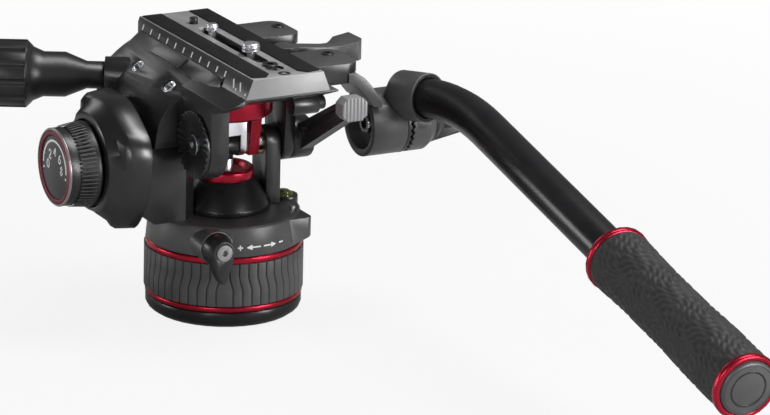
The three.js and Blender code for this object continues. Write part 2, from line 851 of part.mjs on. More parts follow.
function makeTiltDrag(group) {
  const inner = leftArmOuter;
  const wall = dragUnitWall;
  piece(group, 'tilt_drag_housing', turnedX([
    [knobStemRadius + boreGap, dragUnitOuter], [dragUnitFaceRadius, dragUnitOuter],
    [dragUnitRadius, dragUnitShoulder], [dragUnitRadius, inner - wall],
    [leftArmHalfWidth, inner], [shaftHole, inner], [shaftHole, inner - wall],
    [dragUnitRadius - wall, inner - wall * 2], [dragUnitRadius - wall, dragUnitShoulder + wall / 3],
    [dragUnitFaceRadius - wall, dragUnitOuter + wall], [knobStemRadius + boreGap, dragUnitOuter + wall],
  ], roundSides, 0, tiltAxisHeight), blackMetal);
  piece(group, 'tilt_drag_cover', coverBody(), glossBlack);
}

function makeLevel(group) {
  const top = shelfTop + levelHeight;
  const floor = top - levelPocketDepth;
  const housing = cut(
    rodZ(levelRadius, shelfTop, top, smallSides, levelX, levelY),
    rodZ(levelVialRadius + boreGap, floor, top + overrun, smallSides, levelX, levelY));
  piece(group, 'level_housing', housing, glossBlack);
  const dome = turnedGeometry([
    [0, floor], [levelVialRadius, floor], [levelVialRadius, top],
    [levelVialRadius * Math.cos(Math.PI / 5), top + levelDomeRise * Math.sin(Math.PI / 5)],
    [levelVialRadius * Math.cos(Math.PI / 3), top + levelDomeRise * Math.sin(Math.PI / 3)],
    [0, top + levelDomeRise],
  ], smallSides).translate(levelX, levelY, 0);
  piece(group, 'level_vial', solid(dome), vialGreen);
}

function makePan(group) {
  piece(group, 'pan_housing', housingBody(), greyMetal);
  const bearing = (from) => turnedZ([
    [spindleRadius + boreGap, from], [bearingRadius, from], [bearingRadius, from + bearingHeight],
    [spindleRadius + boreGap, from + bearingHeight],
  ], hiddenSides);
  piece(group, 'pan_bearing_lower', bearing(ringBase + runningGap), steel);
  piece(group, 'pan_bearing_upper', bearing(spindleTop - bearingHeight), steel);
  piece(group, 'left_arm', leftArmBody(), blackMetal);
  piece(group, 'right_arm', rightArmBody(), blackMetal);
  piece(group, 'tilt_bush_left', bush(leftArmInner - leftBushLength + seatGap, leftArmInner - seatGap),
    bronze);
  piece(group, 'tilt_bush_right', bush(rightArmInner + seatGap, rightArmOuter - seatGap), bronze);
  makeSpring(group);
  makeTiltDrag(group);
  makeLevel(group);
}

// Pan lock lever: barrel on the housing's boss, with a pointed blade hanging from it
function makePanLock(group) {
  const from = panLockBossFace - runningGap;
  const barrel = solid(turnedGeometry([
    [0, -from], [panLockBarrelRadius, -from], [panLockHeadRadius, -panLockEnd], [0, -panLockEnd],
  ], smallSides).applyMatrix4(yDown).translate(panLockX, 0, panLockHeight));
  const side = (sign) => panLockHalfShares.map((share, i) => [
    panLockX + sign * share * panLockHeadRadius, panLockHeight - panLockDrops[i]]);
  const blade = slabY([...side(-1), ...side(1).reverse()], panLockEnd, panLockEnd + panLockBladeDepth);
  const socket = rodY(panLockScrewRadius + boreGap, panLockEnd - overrun, panLockEnd + hexSocketDepth * 2,
    smallSides, panLockX, panLockHeight);
  piece(group, 'pan_lock_lever', cut(joined(barrel, blade), socket), blackMetal);
  const face = panLockEnd - panLockScrewProud;
  piece(group, 'pan_lock_screw', cut(
    rodY(panLockScrewRadius, face, panLockEnd + hexSocketDepth * 2 - seatGap, smallSides, panLockX,
      panLockHeight),
    rodY(hexSocketRadius, face - overrun, face + hexSocketDepth, hexSides, panLockX, panLockHeight)), steel);
}

// Tilt drag knob with its red ring and dial
function makeTiltKnob(group) {
  const z = tiltAxisHeight;
  const ringBack = knobFaceX + knobRingHeight;
  const dialRadius = knobRingRadius - knobRingWidth - seatGap;
  piece(group, 'tilt_drag_knob', turnedX([
    [0, ringBack], [knobRingRadius + seatGap, ringBack], [knobRingRadius + seatGap, knobFaceX],
    [knobFaceRadius, knobFaceX + knobRingHeight / 2], [knobFaceRadius, ringBack + knobRingHeight],
    [knobWaistRadius, (knobFaceX + knobBaseX) / 2], [knobBaseRadius, knobBaseX - knobRingHeight],
    [knobBaseRadius, knobBaseX], [knobStemRadius, knobBaseX], [knobStemRadius, dragUnitOuter + dragUnitWall],
    [0, dragUnitOuter + dragUnitWall],
  ], roundSides, 0, z), blackMetal);
  piece(group, 'tilt_knob_ring', turnedX([
    [knobRingRadius - knobRingWidth, knobFaceX], [knobRingRadius, knobFaceX], [knobRingRadius, ringBack],
    [knobRingRadius - knobRingWidth, ringBack],
  ], roundSides, 0, z), redAnodised);
  piece(group, 'tilt_knob_dial', rodX(dialRadius, ringBack - knobDialHeight, ringBack, roundSides, 0, z),
    glossBlack);
}

// Gas spring rod with its piston, and the eye at its upper end
function makeSpringRod(group) {
  const floor = springFloor + springFloorWall + runningGap;
  const neck = tiltAxisHeight + eyeNeckBottom;
  piece(group, 'spring_rod', turnedZ([
    [0, floor], [springBoreRadius - boreGap, floor], [springBoreRadius - boreGap, floor + pistonHeight],
    [rodRadius, floor + pistonHeight], [rodRadius, neck], [0, neck],
  ], smallSides), chrome);
  const half = carriageHalfWidth - carriageCheek - runningGap * 2;
  const ring = slabX(arcPoints(0, tiltAxisHeight, eyeRadius, 0, 360 - 360 / arcSteps / 2, arcSteps * 2 - 1),
    -half, half);
  const neckBody = rodZ(rodRadius, neck, tiltAxisHeight, smallSides);
  const hole = rodX(eyePinRadius, -half - overrun, half + overrun, smallSides, 0, tiltAxisHeight);
  piece(group, 'spring_rod_eye', cut(joined(ring, neckBody), hole), blackMetal);
}

// Outline of the left web that carries the rosette, in Y and height above the tilt axis
function rosetteWebOutline() {
  return [
    [deckRear, deckTop], [deckRear, hoodRearTip], [rosetteY - rosetteBossRadius, hoodRearFlank],
    ...arcPoints(rosetteY, rosetteRise, rosetteBossRadius, 180, 360, arcSteps * 2),
    [hoodRearWall, deckTop],
  ];
}

function balanceFrame() {
  const turn = new THREE.Matrix4().makeRotationZ(THREE.MathUtils.degToRad(balanceAngle));
  return turn.multiply(xUp).setPosition(balanceX, balanceY, balanceRise);
}

// A round bar about the counterbalance knob's axis
function balanceRod(radius, from, to) {
  const geometry = turnedGeometry([[0, from], [radius, from], [radius, to], [0, to]], smallSides);
  return solid(geometry.applyMatrix4(balanceFrame()));
}

// The hood's outline at one Y, smooth through the given points and closed along the platform's side
function hoodRing(xs, rises, y) {
  const curve = new THREE.SplineCurve(xs.map((x, i) => new THREE.Vector2(x, rises[i])));
  const ring = curve.getPoints(hoodCurveSteps).map((spot) => [spot.x, y, spot.y]);
  return [...ring, [hoodOuter, y, hoodFoot], [hoodInner, y, hoodFoot]];
}

function hoodBody() {
  const skin = solid(lofted([hoodRing(hoodRearX, hoodRearRise, hoodRearWall),
    hoodRing(hoodFullX, hoodFullRise, hoodFullFrom), hoodRing(hoodFullX, hoodFullRise, deckFront)]));
  const side = slabX([
    [hoodRearWall, railCrownRise], [hoodRearWall, hoodArchRadius * Math.cos(Math.PI / 3)],
    ...arcPoints(0, 0, hoodArchRadius, hoodArchRearAngle, hoodArchFrontAngle), [deckFront, hoodNoseBottom],
    [deckFront, railCrownRise],
  ], hoodOuter, hoodInner);
  const rearSkin = slabY([
    [hoodInner, deckTop], [rosetteBossFace, webCrownRise], [rosetteBossFace, -rosetteBossRadius],
    [hoodInner, -rosetteBossRadius],
  ], deckRear, hoodRearWall + overrun);
  const web = slabX(rosetteWebOutline(), rosetteBossFace, hoodInner).intersect(rearSkin);
  const boss = balanceRod(balanceBossRadius, -balanceBossBack, balanceBossFront);
  const bore = balanceRod(balanceShaftRadius + boreGap, -balanceShaftLength - runningGap,
    balanceBossFront + overrun);
  const knobSpace = balanceRod(balanceBossRadius + runningGap, balanceBossFront, gripStart);
  const inboard = box(hoodInner, deckRight, deckRear, deckFront, -deckTop, deckTop);
  const channel = slabY(plateProfile(runningGap), deckRear - overrun, deckFront + overrun);
  const shell = joined(skin.intersect(side), web, boss, hoodRail(), hoodPanel());
  return cut(shell, bore, knobSpace, inboard, channel, ...accessorySockets());
}

// Rail beside the plate, running out to a point at its rear end
function hoodRail() {
  return solid(lofted(railStationY.map((y, i) => [
    [hoodInner, y, deckTop], [railCrownX, y, railCrownRise], [railFootX[i], y, railFootRise[i]],
    [railFootX[i], y, railFootRise[i] - railSink], [hoodInner, y, deckTop - railSink],
  ])));
}

// Raised bare label panel on the rail's outer slope
function hoodPanel() {
  const run = [railFootX[2] - railCrownX, railFootRise[2] - railCrownRise];
  const length = Math.hypot(...run);
  const [dx, dz] = [run[0] / length, run[1] / length];
  const place = (down, out) => [railCrownX + dx * down + dz * out, railCrownRise + dz * down - dx * out];
  return slabY([
    place(panelInset, -panelThickness), place(panelInset * 2, panelThickness),
    place(panelRun - panelInset, panelThickness), place(panelRun, -panelThickness * 2),
  ], panelRear, panelFront);
}

// Two accessory threads on the flank, square to its upper slope
function accessorySockets() {
  return socketX.map((x, i) => {
    const depth = new THREE.Matrix4().makeRotationY(THREE.MathUtils.degToRad(socketTilt));
    depth.setPosition(x, socketY[i], socketHeight[i]);
    const geometry = turnedGeometry([
      [0, -socketDepth], [socketRadius, -socketDepth], [socketRadius, overrun], [0, overrun],
    ], smallSides);
    return solid(geometry.applyMatrix4(depth));
  });
}

// The dovetail channel that the camera plate slides in
function plateProfile(grow) {
  const bottom = deckTop + plateLift - grow;
  const top = deckTop + plateLift + plateThickness;
  return [
    [-plateBottomHalf - grow, bottom], [plateBottomHalf + grow, bottom],
    [plateTopHalf + grow, top + grow], [-plateTopHalf - grow, top + grow],
  ];
}

function platformBody() {
  const deck = slabX([
    [deckRear, deckTop], [deckRear, deckRearEdge], [deckChamferTo, deckBottom], [deckFront, deckBottom],
    [deckFront, deckTop],
  ], deckLeft, deckRight);
  const lobe = (right, from, to) => joined(
    slabZ(tongue(plateTopHalf, right, from, to, lobeCorner), lobeLedge, lobeTop),
    slabZ([[plateTopHalf, from], [lobeRootRight, from], [lobeRootRight, to], [plateTopHalf, to]], lobeBottom,
      lobeLedge));
  const bridge = box(plateTopHalf, bridgeRight, rearLobeTo - seatGap, frontLobeFrom + seatGap,
    lobeBottom, bridgeTop);
  const ear = slabX([
    ...arcPoints(0, 0, earRadius, 180, 360), [earTopHalf, deckBottom], [earTopHalf, deckTop],
    [-earTopHalf, deckTop], [-earTopHalf, deckBottom],
  ], earInner, earInner + earThickness);
  const channel = slabY(plateProfile(runningGap), deckRear - overrun, deckFront + overrun);
  const above = box(-plateTopHalf, plateTopHalf + runningGap, deckRear - overrun, deckFront + overrun,
    deckTop, lobeTop + overrun);
  const shaft = rodX(shaftHole, earInner - overrun, earInner + earThickness + overrun, smallSides);
  const buttonBoss = rodX(buttonBossRadius, buttonBossFrom, buttonBossTo, smallSides, buttonY, buttonRise);
  const button = rodX(buttonRadius + boreGap, buttonBossTo - buttonDepth,
    buttonBossTo + buttonProud + overrun, smallSides, buttonY, buttonRise);
  const stem = rodZ(carriageStemRadius + boreGap, deckBottom - overrun, deckBottom + rodTravel - seatGap,
    smallSides);
  const frontLobe = lobe(frontLobeRight, frontLobeFrom, frontLobeTo);
  const rearLobe = lobe(rearLobeRight, rearLobeFrom, rearLobeTo);
  const added = joined(deck, frontLobe, rearLobe, bridge, ear, buttonBoss);
  return cut(added, channel, above, shaft, button, stem);
}

function yokeBody() {
  const top = deckBottom - seatGap;
  const cup = turnedZ([
    [carriageStemRadius + boreGap, yokeBottom], [yokeRadius - yokeChamfer, yokeBottom],
    [yokeRadius, yokeBottom + yokeChamfer], [yokeRadius, top], [carriageStemRadius + boreGap, top],
  ]);
  const outline = [
    [-yokeEarTopHalf, yokeBottom + yokeChamfer], [-yokeEarTopHalf, yokeBottom],
    [-yokeEarTipHalf, yokeEarTip], [yokeEarTipHalf, yokeEarTip],
    [yokeEarTopHalf, yokeBottom], [yokeEarTopHalf, yokeBottom + yokeChamfer],
  ];
  const leftEar = slabX(outline, -yokeEarOuter, -yokeEarInner);
  const rightEar = slabX(outline, yokeEarInner, yokeEarOuter);
  const holes = rodX(spigotRadius + seatGap, -yokeEarOuter - overrun, yokeEarOuter + overrun, smallSides);
  return cut(joined(cup, leftEar, rightEar), holes, carriagePocket());
}

// Room in the cup for the carriage's crown as it rises
function carriagePocket() {
  const half = carriageHalfWidth + runningGap;
  const deep = carriageHalfDepth + runningGap;
  return box(-half, half, -deep, deep, yokeBottom - overrun, yokeBottom + rodTravel + runningGap);
}

function rosette(face, direction) {
  const turn = new THREE.Matrix4().copy(xUp);
  if (direction < 0) turn.premultiply(new THREE.Matrix4().makeRotationZ(Math.PI));
  turn.setPosition(face, rosetteY, rosetteRise);
  const ring = toothedRing(rosetteRadius, rosetteBore, rosetteThickness, rosetteToothDepth,
    rosetteToothCount);
  return solid(ring.applyMatrix4(turn));
}

function wingBody() {
  const wing = slabY(wingOutlineX.map((x, i) => [x, wingOutlineRise[i]]), wingRear, wingFront);
  const end = drumSplit - rosetteThickness - rosetteToothDepth;
  const drum = rodX(drumRadius, drumInner, end, roundSides, rosetteY, rosetteRise);
  const recess = rodX(drumRecessRadius, drumInner - overrun, drumInner + drumRecessDepth, roundSides,
    rosetteY, rosetteRise);
  const bolt = rodX(clampBoltRadius + boreGap, drumInner, end + overrun, smallSides, rosetteY, rosetteRise);
  return cut(joined(wing, drum), recess, bolt);
}

function makeTilt(group) {
  piece(group, 'platform', platformBody(), greyMetal);
  piece(group, 'tilt_hood', hoodBody(), blackMetal);
  piece(group, 'tilt_yoke', yokeBody(), redAnodised);
  const rotorInner = leftArmOuter - dragUnitWall * 2 - runningGap;
  piece(group, 'tilt_shaft_left', joined(
    rodX(shaftRadius, rotorInner - tiltRotorLength, -yokeEarOuter - seatGap, smallSides),
    rodX(spigotRadius, -yokeEarOuter - seatGap, -yokeEarInner, smallSides)), steel);
  piece(group, 'tilt_shaft_right', joined(
    rodX(shaftRadius, yokeEarOuter + seatGap, lockHubOuter - seatGap, smallSides),
    rodX(spigotRadius, yokeEarInner, yokeEarOuter + seatGap, smallSides)), steel);
  piece(group, 'tilt_drag_rotor', turnedX([
    [shaftRadius + seatGap, rotorInner - tiltRotorLength], [tiltRotorRadius, rotorInner - tiltRotorLength],
    [tiltRotorRadius, rotorInner], [shaftRadius + seatGap, rotorInner],
  ], hiddenSides), bronze);
  piece(group, 'rosette_left', rosette(rosetteBossFace, -1), blackMetal);
  const boltFace = rosetteBossFace - rosetteBoltHeight;
  const boltSocket = rodX(hexSocketRadius, boltFace - overrun, boltFace + hexSocketDepth / 2, hexSides,
    rosetteY, rosetteRise);
  piece(group, 'rosette_bolt_left', cut(
    rodX(rosetteBoltRadius, boltFace, rosetteBossFace, smallSides, rosetteY, rosetteRise),
    boltSocket), steel);
  piece(group, 'right_wing', wingBody(), blackMetal);
  piece(group, 'rosette_right', rosette(drumSplit - rosetteThickness - rosetteToothDepth, 1), blackMetal);
}

// Carriage that carries the gas spring's upper pivot, moved by the counterbalance screw
function makeCarriage(group) {
  const crown = box(-carriageHalfWidth, carriageHalfWidth, -carriageHalfDepth, carriageHalfDepth,
    carriageCrown, yokeBottom - runningGap);
  const cheek = slabX([
    ...arcPoints(0, 0, carriageHalfDepth, 180, 360), [carriageHalfDepth, carriageCrown],
    [-carriageHalfDepth, carriageCrown],
  ], -carriageHalfWidth, carriageHalfWidth);
  const inner = carriageHalfWidth - carriageCheek;
  const gap = box(-inner, inner, -carriageHalfDepth - overrun, carriageHalfDepth + overrun,
    -carriageHalfDepth - overrun, carriageCrown);
  const holes = rodX(eyePinRadius, -carriageHalfWidth - overrun, carriageHalfWidth + overrun, smallSides);
  const stem = rodZ(carriageStemRadius, yokeBottom - overrun, carriageStemTop, smallSides);
  piece(group, 'spring_carriage', cut(joined(crown, cheek, stem), gap, holes), chrome);
}

// Counterbalance knob on the hood's nose
function makeBalanceKnob(group) {
  const from = balanceBossFront + runningGap;
  const flute = (i) => {
    const angle = Math.PI * 2 * i / headFluteCount;
    const reach = headRadius + headFluteDepth;
    return rodZ(headFluteDepth * 2, headStart + headCorner, headEnd + overrun, arcSteps,
      reach * Math.cos(angle), reach * Math.sin(angle));
  };
  const body = turnedZ([
    [0, from], [neckRadius, from], [neckRadius, neckLength], [gripRadius, gripStart], [gripRadius, gripEnd],
    [gripRadius + headCorner, headStart - headCorner / 2], [headRadius - headCorner, headStart],
    [headRadius, headStart + headCorner], [headRadius, headEnd - headCorner],
    [headRadius - headCorner, headEnd], [0, headEnd],
  ]);
  const flutes = Array.from({ length: headFluteCount }, (_, i) => flute(i));
  const knob = piece(group, 'balance_knob', cut(body, ...flutes), blackMetal);
  knob.geometry.applyMatrix4(balanceFrame());
  piece(group, 'balance_shaft', balanceRod(balanceShaftRadius, -balanceShaftLength, balanceBossFront),
    steel);
}

// Tilt lock: hub on the shaft's end, grooved bar and ribbed grip
function makeTiltLock(group) {
  const hub = turnedX([
    [shaftRadius + seatGap * 2, lockHubInner], [lockHubRadius, lockHubInner], [lockHubRadius, lockHubOuter],
    [shaftRadius + seatGap * 2, lockHubOuter],
  ], smallSides);
  const reach = Math.hypot(lockTipY, lockTipRise);
  const [dy, dz] = [lockTipY / reach, lockTipRise / reach];
  const place = (along, side) => [dy * along - dz * side, dz * along + dy * side];
  const bar = slabX([
    place(0, lockBarHubLower), place(reach, lockBarTipLower),
    place(reach, -lockBarUpper), place(0, -lockBarUpper),
  ], lockBarInner, lockBarOuter);
  const groove = slabX([
    place(lockHubRadius + overrun, -lockGrooveHalf), place(reach - lockBarTipLower, -lockGrooveHalf),
    place(reach - lockBarTipLower, lockGrooveHalf), place(lockHubRadius + overrun, lockGrooveHalf),
  ], lockBarInner - overrun, lockBarInner + lockGrooveHalf);
  const clear = rodX(shaftRadius + seatGap * 2, lockHubInner - overrun, lockHubOuter + overrun, smallSides);
  piece(group, 'tilt_lock_lever', cut(joined(hub, bar), groove, clear), blackMetal);
  const rear = lockTipY + dy * runningGap - lockGripDepth;
  const width = lockGripRight - lockGripLeft;
  const notched = [[lockGripLeft, rear + lockGripDepth]];
  for (let i = 0; i < lockGripRibCount; i += 1) {
    const start = lockGripLeft + width * i / lockGripRibCount;
    const step = width / lockGripRibCount;
    notched.push([start, rear + lockGripRibDepth], [start + step / 4, rear], [start + step * 3 / 4, rear]);
  }
  notched.push([lockGripRight, rear + lockGripRibDepth], [lockGripRight, rear + lockGripDepth]);
  const top = lockTipRise + lockGripHeight / 2 + lockGripLift;
  const corner = lockGripHeight / 4;
  const face = slabY([
    [lockGripLeft, top - corner], [lockGripLeft, top - lockGripHeight + corner],
    [lockGripLeft + corner, top - lockGripHeight], [lockGripRight - corner, top - lockGripHeight],
    [lockGripRight, top - lockGripHeight + corner], [lockGripRight, top - corner],
    [lockGripRight - corner, top], [lockGripLeft + corner, top],
  ], rear - overrun, rear + lockGripDepth + overrun);
  const block = slabZ(notched, top - lockGripHeight, top).intersect(face);
  piece(group, 'tilt_lock_grip', cut(block, slabX([
    place(0, -lockBarUpper - runningGap), place(reach + runningGap, -lockBarUpper - runningGap),
    place(reach + runningGap, lockBarTipLower + runningGap), place(0, lockBarHubLower + runningGap),
  ], lockBarInner - runningGap, lockBarOuter + runningGap)), blackMetal);
}

// Camera plate with its slot, pads and holes
function makePlate(group) {
  const bottom = deckTop + plateLift;
  const top = bottom + plateThickness;
  const blank = slabY(plateProfile(0), plateRear, plateFront);
  const slot = slabZ([
    ...arcPoints(0, slotRear + slotHalf, slotHalf, 180, 360),
    ...arcPoints(0, slotFront - slotHalf, slotHalf, 0, 180),
  ], bottom - overrun, top + overrun);
  const channel = box(-channelHalf, channelHalf, slotRear - channelEnd, slotFront + channelEnd,
    bottom - overrun, bottom + channelDepth);
  const holeY = ringHoleY - ringHoleRecess;
  const ringHole = rodZ(ringHoleRadius, bottom - overrun, top + overrun, smallSides, 0, holeY);
  const ringRecess = rodZ(ringHoleRecess, top - ringHoleDepth, top + overrun, smallSides, 0, holeY);
  const pinHole = rodZ(videoPinRadius + boreGap, bottom + videoPinFoot - seatGap, top + overrun,
    smallSides, 0, videoPinY + videoPinFoot);
  const relief = (from, to) => box(from, to, plateReliefFrom, plateFront + overrun, bottom - overrun,
    top + overrun);
  const side = plateBottomHalf + overrun;
  const reliefs = [relief(-side, -plateReliefHalf), relief(plateReliefHalf, side)];
  piece(group, 'camera_plate', cut(blank, slot, channel, ringHole, ringRecess, pinHole, ...reliefs),
    greyMetal);
  for (const [name, side] of [['plate_pad_left', -1], ['plate_pad_right', 1]]) {
    const across = (share) => side * THREE.MathUtils.lerp(padInner, padOuter, share);
    const rear = plateRear + padEndInset;
    const pad = slabZ([
      [across(0), rear + padNoseRun], [across(padNoseShare), rear], [across(1), rear + padEndInset],
      [across(1), plateFront - padEndInset], [across(0), plateFront - padEndInset],
    ], top, top + padHeight);
    piece(group, name, pad, rubber);
  }
}

function screwSlider(y) {
  const base = deckTop + plateLift;
  return cut(
    box(-sliderHalf, sliderHalf, y - sliderHalf, y + sliderHalf, base + sliderBottom, base + sliderTop),
    rodZ(screwShankRadius + boreGap, base, base + sliderTop + overrun, smallSides, 0, y));
}

function cameraScrew(y, thread, rise) {
  const base = deckTop + plateLift;
  const top = base + plateThickness + rise;
  const neck = base + plateThickness + screwNeckRise;
  const geometry = turnedGeometry([
    [0, base + screwHeadBottom], [screwHeadRadius, base + screwHeadBottom],
    [screwHeadRadius, base + screwHeadTop], [screwShankRadius, base + screwHeadTop],
    [screwShankRadius, neck], [thread, neck + screwThreadChamfer],
    [thread, top - screwThreadChamfer], [thread - screwThreadChamfer, top], [0, top],
  ], smallSides).translate(0, y, 0);
  return solid(geometry);
}

function makePlateHardware(group) {
  const base = deckTop + plateLift;
  piece(group, 'screw_slider_small', screwSlider(smallScrewY), steel);
  piece(group, 'screw_slider_large', screwSlider(largeScrewY), steel);
  piece(group, 'camera_screw_small', cameraScrew(smallScrewY, smallThreadRadius, smallScrewRise), chrome);
  piece(group, 'camera_screw_large', cameraScrew(largeScrewY, largeThreadRadius, largeScrewRise), chrome);
  const top = base + plateThickness;
  piece(group, 'video_pin', rodZ(videoPinRadius, top - videoPinFoot, top + videoPinRise, smallSides,
    0, videoPinY + videoPinFoot), blackMetal);
}

// Plate lock lever with its flared paddle, between the platform's two lobes
function makePlateLock(group) {
  const y = plateLockY;
  const tipX = Math.max(...plateLockFlareX);
  const rootX = plateLockX - plateLockHubRadius - overrun;
  const bar = slabZ([
    ...arcPoints(plateLockX, y, plateLockHubRadius, plateLockHubOpening, 360 - plateLockHubOpening),
    [plateLockNeckEnd, y - plateLockNeckHalf],
    ...plateLockFlareX.map((x, i) => [x, plateLockFlareY[i]]).reverse(),
    [plateLockNeckEnd, y + plateLockNeckHalf],
  ], plateLockTipBottom, plateLockPaddleTop + overrun);
  const side = slabY([
    [rootX, plateLockBottom], [plateLockRootEnd, plateLockBottom],
    [plateLockRootEnd + overrun, plateLockNeckBottom], [plateLockNeckEnd - overrun, plateLockNeckBottom],
    [plateLockNeckEnd + overrun, plateLockPaddleBottom], [tipX, plateLockTipBottom],
    [tipX, plateLockPaddleTop], [plateLockNeckEnd + overrun, plateLockNeckTop],
    [plateLockNeckEnd - overrun, plateLockNeckTop], [plateLockX, plateLockHubTop], [rootX, plateLockHubTop],
  ], Math.min(...plateLockFlareY) - overrun, Math.max(...plateLockFlareY) + overrun);
  const channel = slabY(plateProfile(runningGap * 2), deckRear, deckFront);
  piece(group, 'plate_lock_lever', cut(bar.intersect(side), channel), greyMetal);
}

function makeReleaseButton(group) {
  const inner = buttonBossTo - buttonDepth + buttonTravel + runningGap;
  piece(group, 'plate_release_button', rodX(buttonRadius, inner, buttonBossTo + buttonProud, smallSides,
    buttonY, buttonRise), blackMetal);
}

// Pan bar: clamp with its socket, bent tube, grip with rings and end cap
function point(list) {
  return new THREE.Vector3(...list);
}

function turnedAlong(profile, origin, direction, sides) {
  const turn = new THREE.Quaternion().setFromUnitVectors(new THREE.Vector3(0, 0, 1), direction);
  return solid(turnedGeometry(profile, sides).applyQuaternion(turn).translate(origin.x, origin.y, origin.z));
}

// A round bar through stations that lie in one plane, run on at both ends by the given length
function sweptRound(stations, across, radius, beyond) {
  const rings = stations.map(({ at, tangent }, k) => {
    const side = across.clone().cross(tangent).normalize();
    const last = stations.length - 1;
    const shift = k === 0 ? -beyond : (k === last ? beyond : 0);
    return Array.from({ length: barSides }, (_, i) => {
      const angle = Math.PI * 2 * i / barSides;
      const spot = at.clone().addScaledVector(tangent, shift);
      spot.addScaledVector(across, radius * Math.cos(angle)).addScaledVector(side, radius * Math.sin(angle));
      return spot.toArray();
    });
  });
  return solid(lofted(rings));
}

function clampBody(mouth, inward) {
  const z = tiltAxisHeight + rosetteRise;
  const faceX = drumSplit + runningGap;
  const rootX = faceX + rosetteToothDepth;
  const drum = turnedX([
    [0, rootX], [drumRadius, rootX], [drumRadius, clampChamferFrom], [clampChamferRadius, clampOuter],
    [0, clampOuter],
  ], roundSides, rosetteY, z);
  const socket = turnedAlong([
    [0, 0], [socketOuterRadius, 0], [socketOuterRadius, socketLength - socketFloor],
    [socketOuterRadius - socketFloor, socketLength], [0, socketLength],
  ], mouth, inward, roundSides);
  const bore = turnedAlong([
    [0, -overrun], [socketRingRadius + seatGap, -overrun], [socketRingRadius + seatGap, socketRingLength],
    [barRadius + runningGap, socketRingLength], [barRadius + runningGap, barInsertion + runningGap],
    [0, barInsertion + runningGap],
  ], mouth, inward, hiddenSides);
  const bolt = rodX(clampBoltRadius + boreGap, faceX - overrun, clampOuter + overrun, smallSides,
    rosetteY, z);
  const otherHalf = rodX(drumRadius + runningGap, drumInner, rootX, roundSides, rosetteY, z);
  const knobSpace = rodX(barKnobRadius + runningGap * 2, clampOuter, clampOuter + barKnobLength, roundSides,
    rosetteY, z);
  const teeth = toothedRing(drumRadius, rosetteBore, rosetteThickness, rosetteToothDepth, rosetteToothCount);
  teeth.applyMatrix4(xUp).applyMatrix4(new THREE.Matrix4().makeRotationZ(Math.PI));
  teeth.rotateX(Math.PI / rosetteToothCount).translate(rootX + rosetteThickness, rosetteY, z);
  return joined(cut(joined(drum, socket), bore, bolt, otherHalf, knobSpace), solid(teeth));
}

function makeBar(group) {
  const mouth = point(barMouth);
  const corner = point(barCorner);
  const end = point(barEnd);
  const outward = corner.clone().sub(mouth).normalize();
  const along = end.clone().sub(corner).normalize();
  piece(group, 'bar_clamp', clampBody(mouth, outward.clone().negate()), blackMetal);
  piece(group, 'bar_socket_ring', turnedAlong([
    [barRadius + runningGap, 0], [socketRingRadius, 0], [socketRingRadius, socketRingLength - seatGap],
    [barRadius + runningGap, socketRingLength - seatGap],
  ], mouth, outward.clone().negate(), hiddenSides), steel);
  const start = mouth.clone().addScaledVector(outward, -barInsertion);
  const bendEnd = corner.clone().addScaledVector(along, barBendRun);
  const bend = new THREE.QuadraticBezierCurve3(mouth, corner, bendEnd);
  const stations = [{ at: start, tangent: outward }];
  for (let i = 0; i <= barBendSteps; i += 1) {
    const share = i / barBendSteps;
    stations.push({ at: bend.getPoint(share), tangent: bend.getTangent(share) });
  }
  stations.push({ at: end.clone().addScaledVector(along, -gripRingWidth - runningGap), tangent: along });
  const across = outward.clone().cross(along).normalize();
  const tube = sweptRound(stations, across, barRadius, 0);
  const bore = sweptRound(stations, across, barRadius - barWall, overrun);
  piece(group, 'pan_bar_tube', cut(tube, bore), blackMetal);
  makeGrip(group, end, along);
}

function makeGrip(group, end, along) {
  const inner = barRadius + runningGap;
  const upper = -gripLength;
  const turned = (profile) => turnedAlong(profile, end, along, roundSides * 2 / 3);
  const ring = (from) => turned([
    [inner, from], [gripRingRadius - trimChamfer, from], [gripRingRadius, from + trimChamfer],
    [gripRingRadius, from + gripRingWidth - trimChamfer],
    [gripRingRadius - trimChamfer, from + gripRingWidth],
    [inner, from + gripRingWidth],
  ]);
  piece(group, 'grip_ring_upper', ring(upper), redAnodised);
  const from = upper + gripRingWidth + runningGap;
  const to = -gripRingWidth - runningGap;
  piece(group, 'pan_bar_grip', turned([
    [inner, from], [gripEndRadius, from], [gripWaistRadius, from + (to - from) / 4],
    [gripWaistRadius, from + (to - from) / 2], [gripEndRadius, to - (to - from) / 5], [gripEndRadius, to],
    [inner, to],
  ]), rubber);
  piece(group, 'grip_ring_lower', turned([
    [endCapRadius + runningGap, -gripRingWidth], [gripRingRadius - trimChamfer, -gripRingWidth],
    [gripRingRadius, -gripRingWidth + trimChamfer], [gripRingRadius, -trimChamfer],
    [gripRingRadius - trimChamfer, 0], [endCapRadius + runningGap, 0],
  ]), redAnodised);
  piece(group, 'grip_end_cap', turned([
    [0, -gripRingWidth], [endCapRadius, -gripRingWidth], [endCapRadius, 0],
    [endCapRadius - endCapProud, endCapProud], [0, endCapProud],
  ]), greyMetal);
}

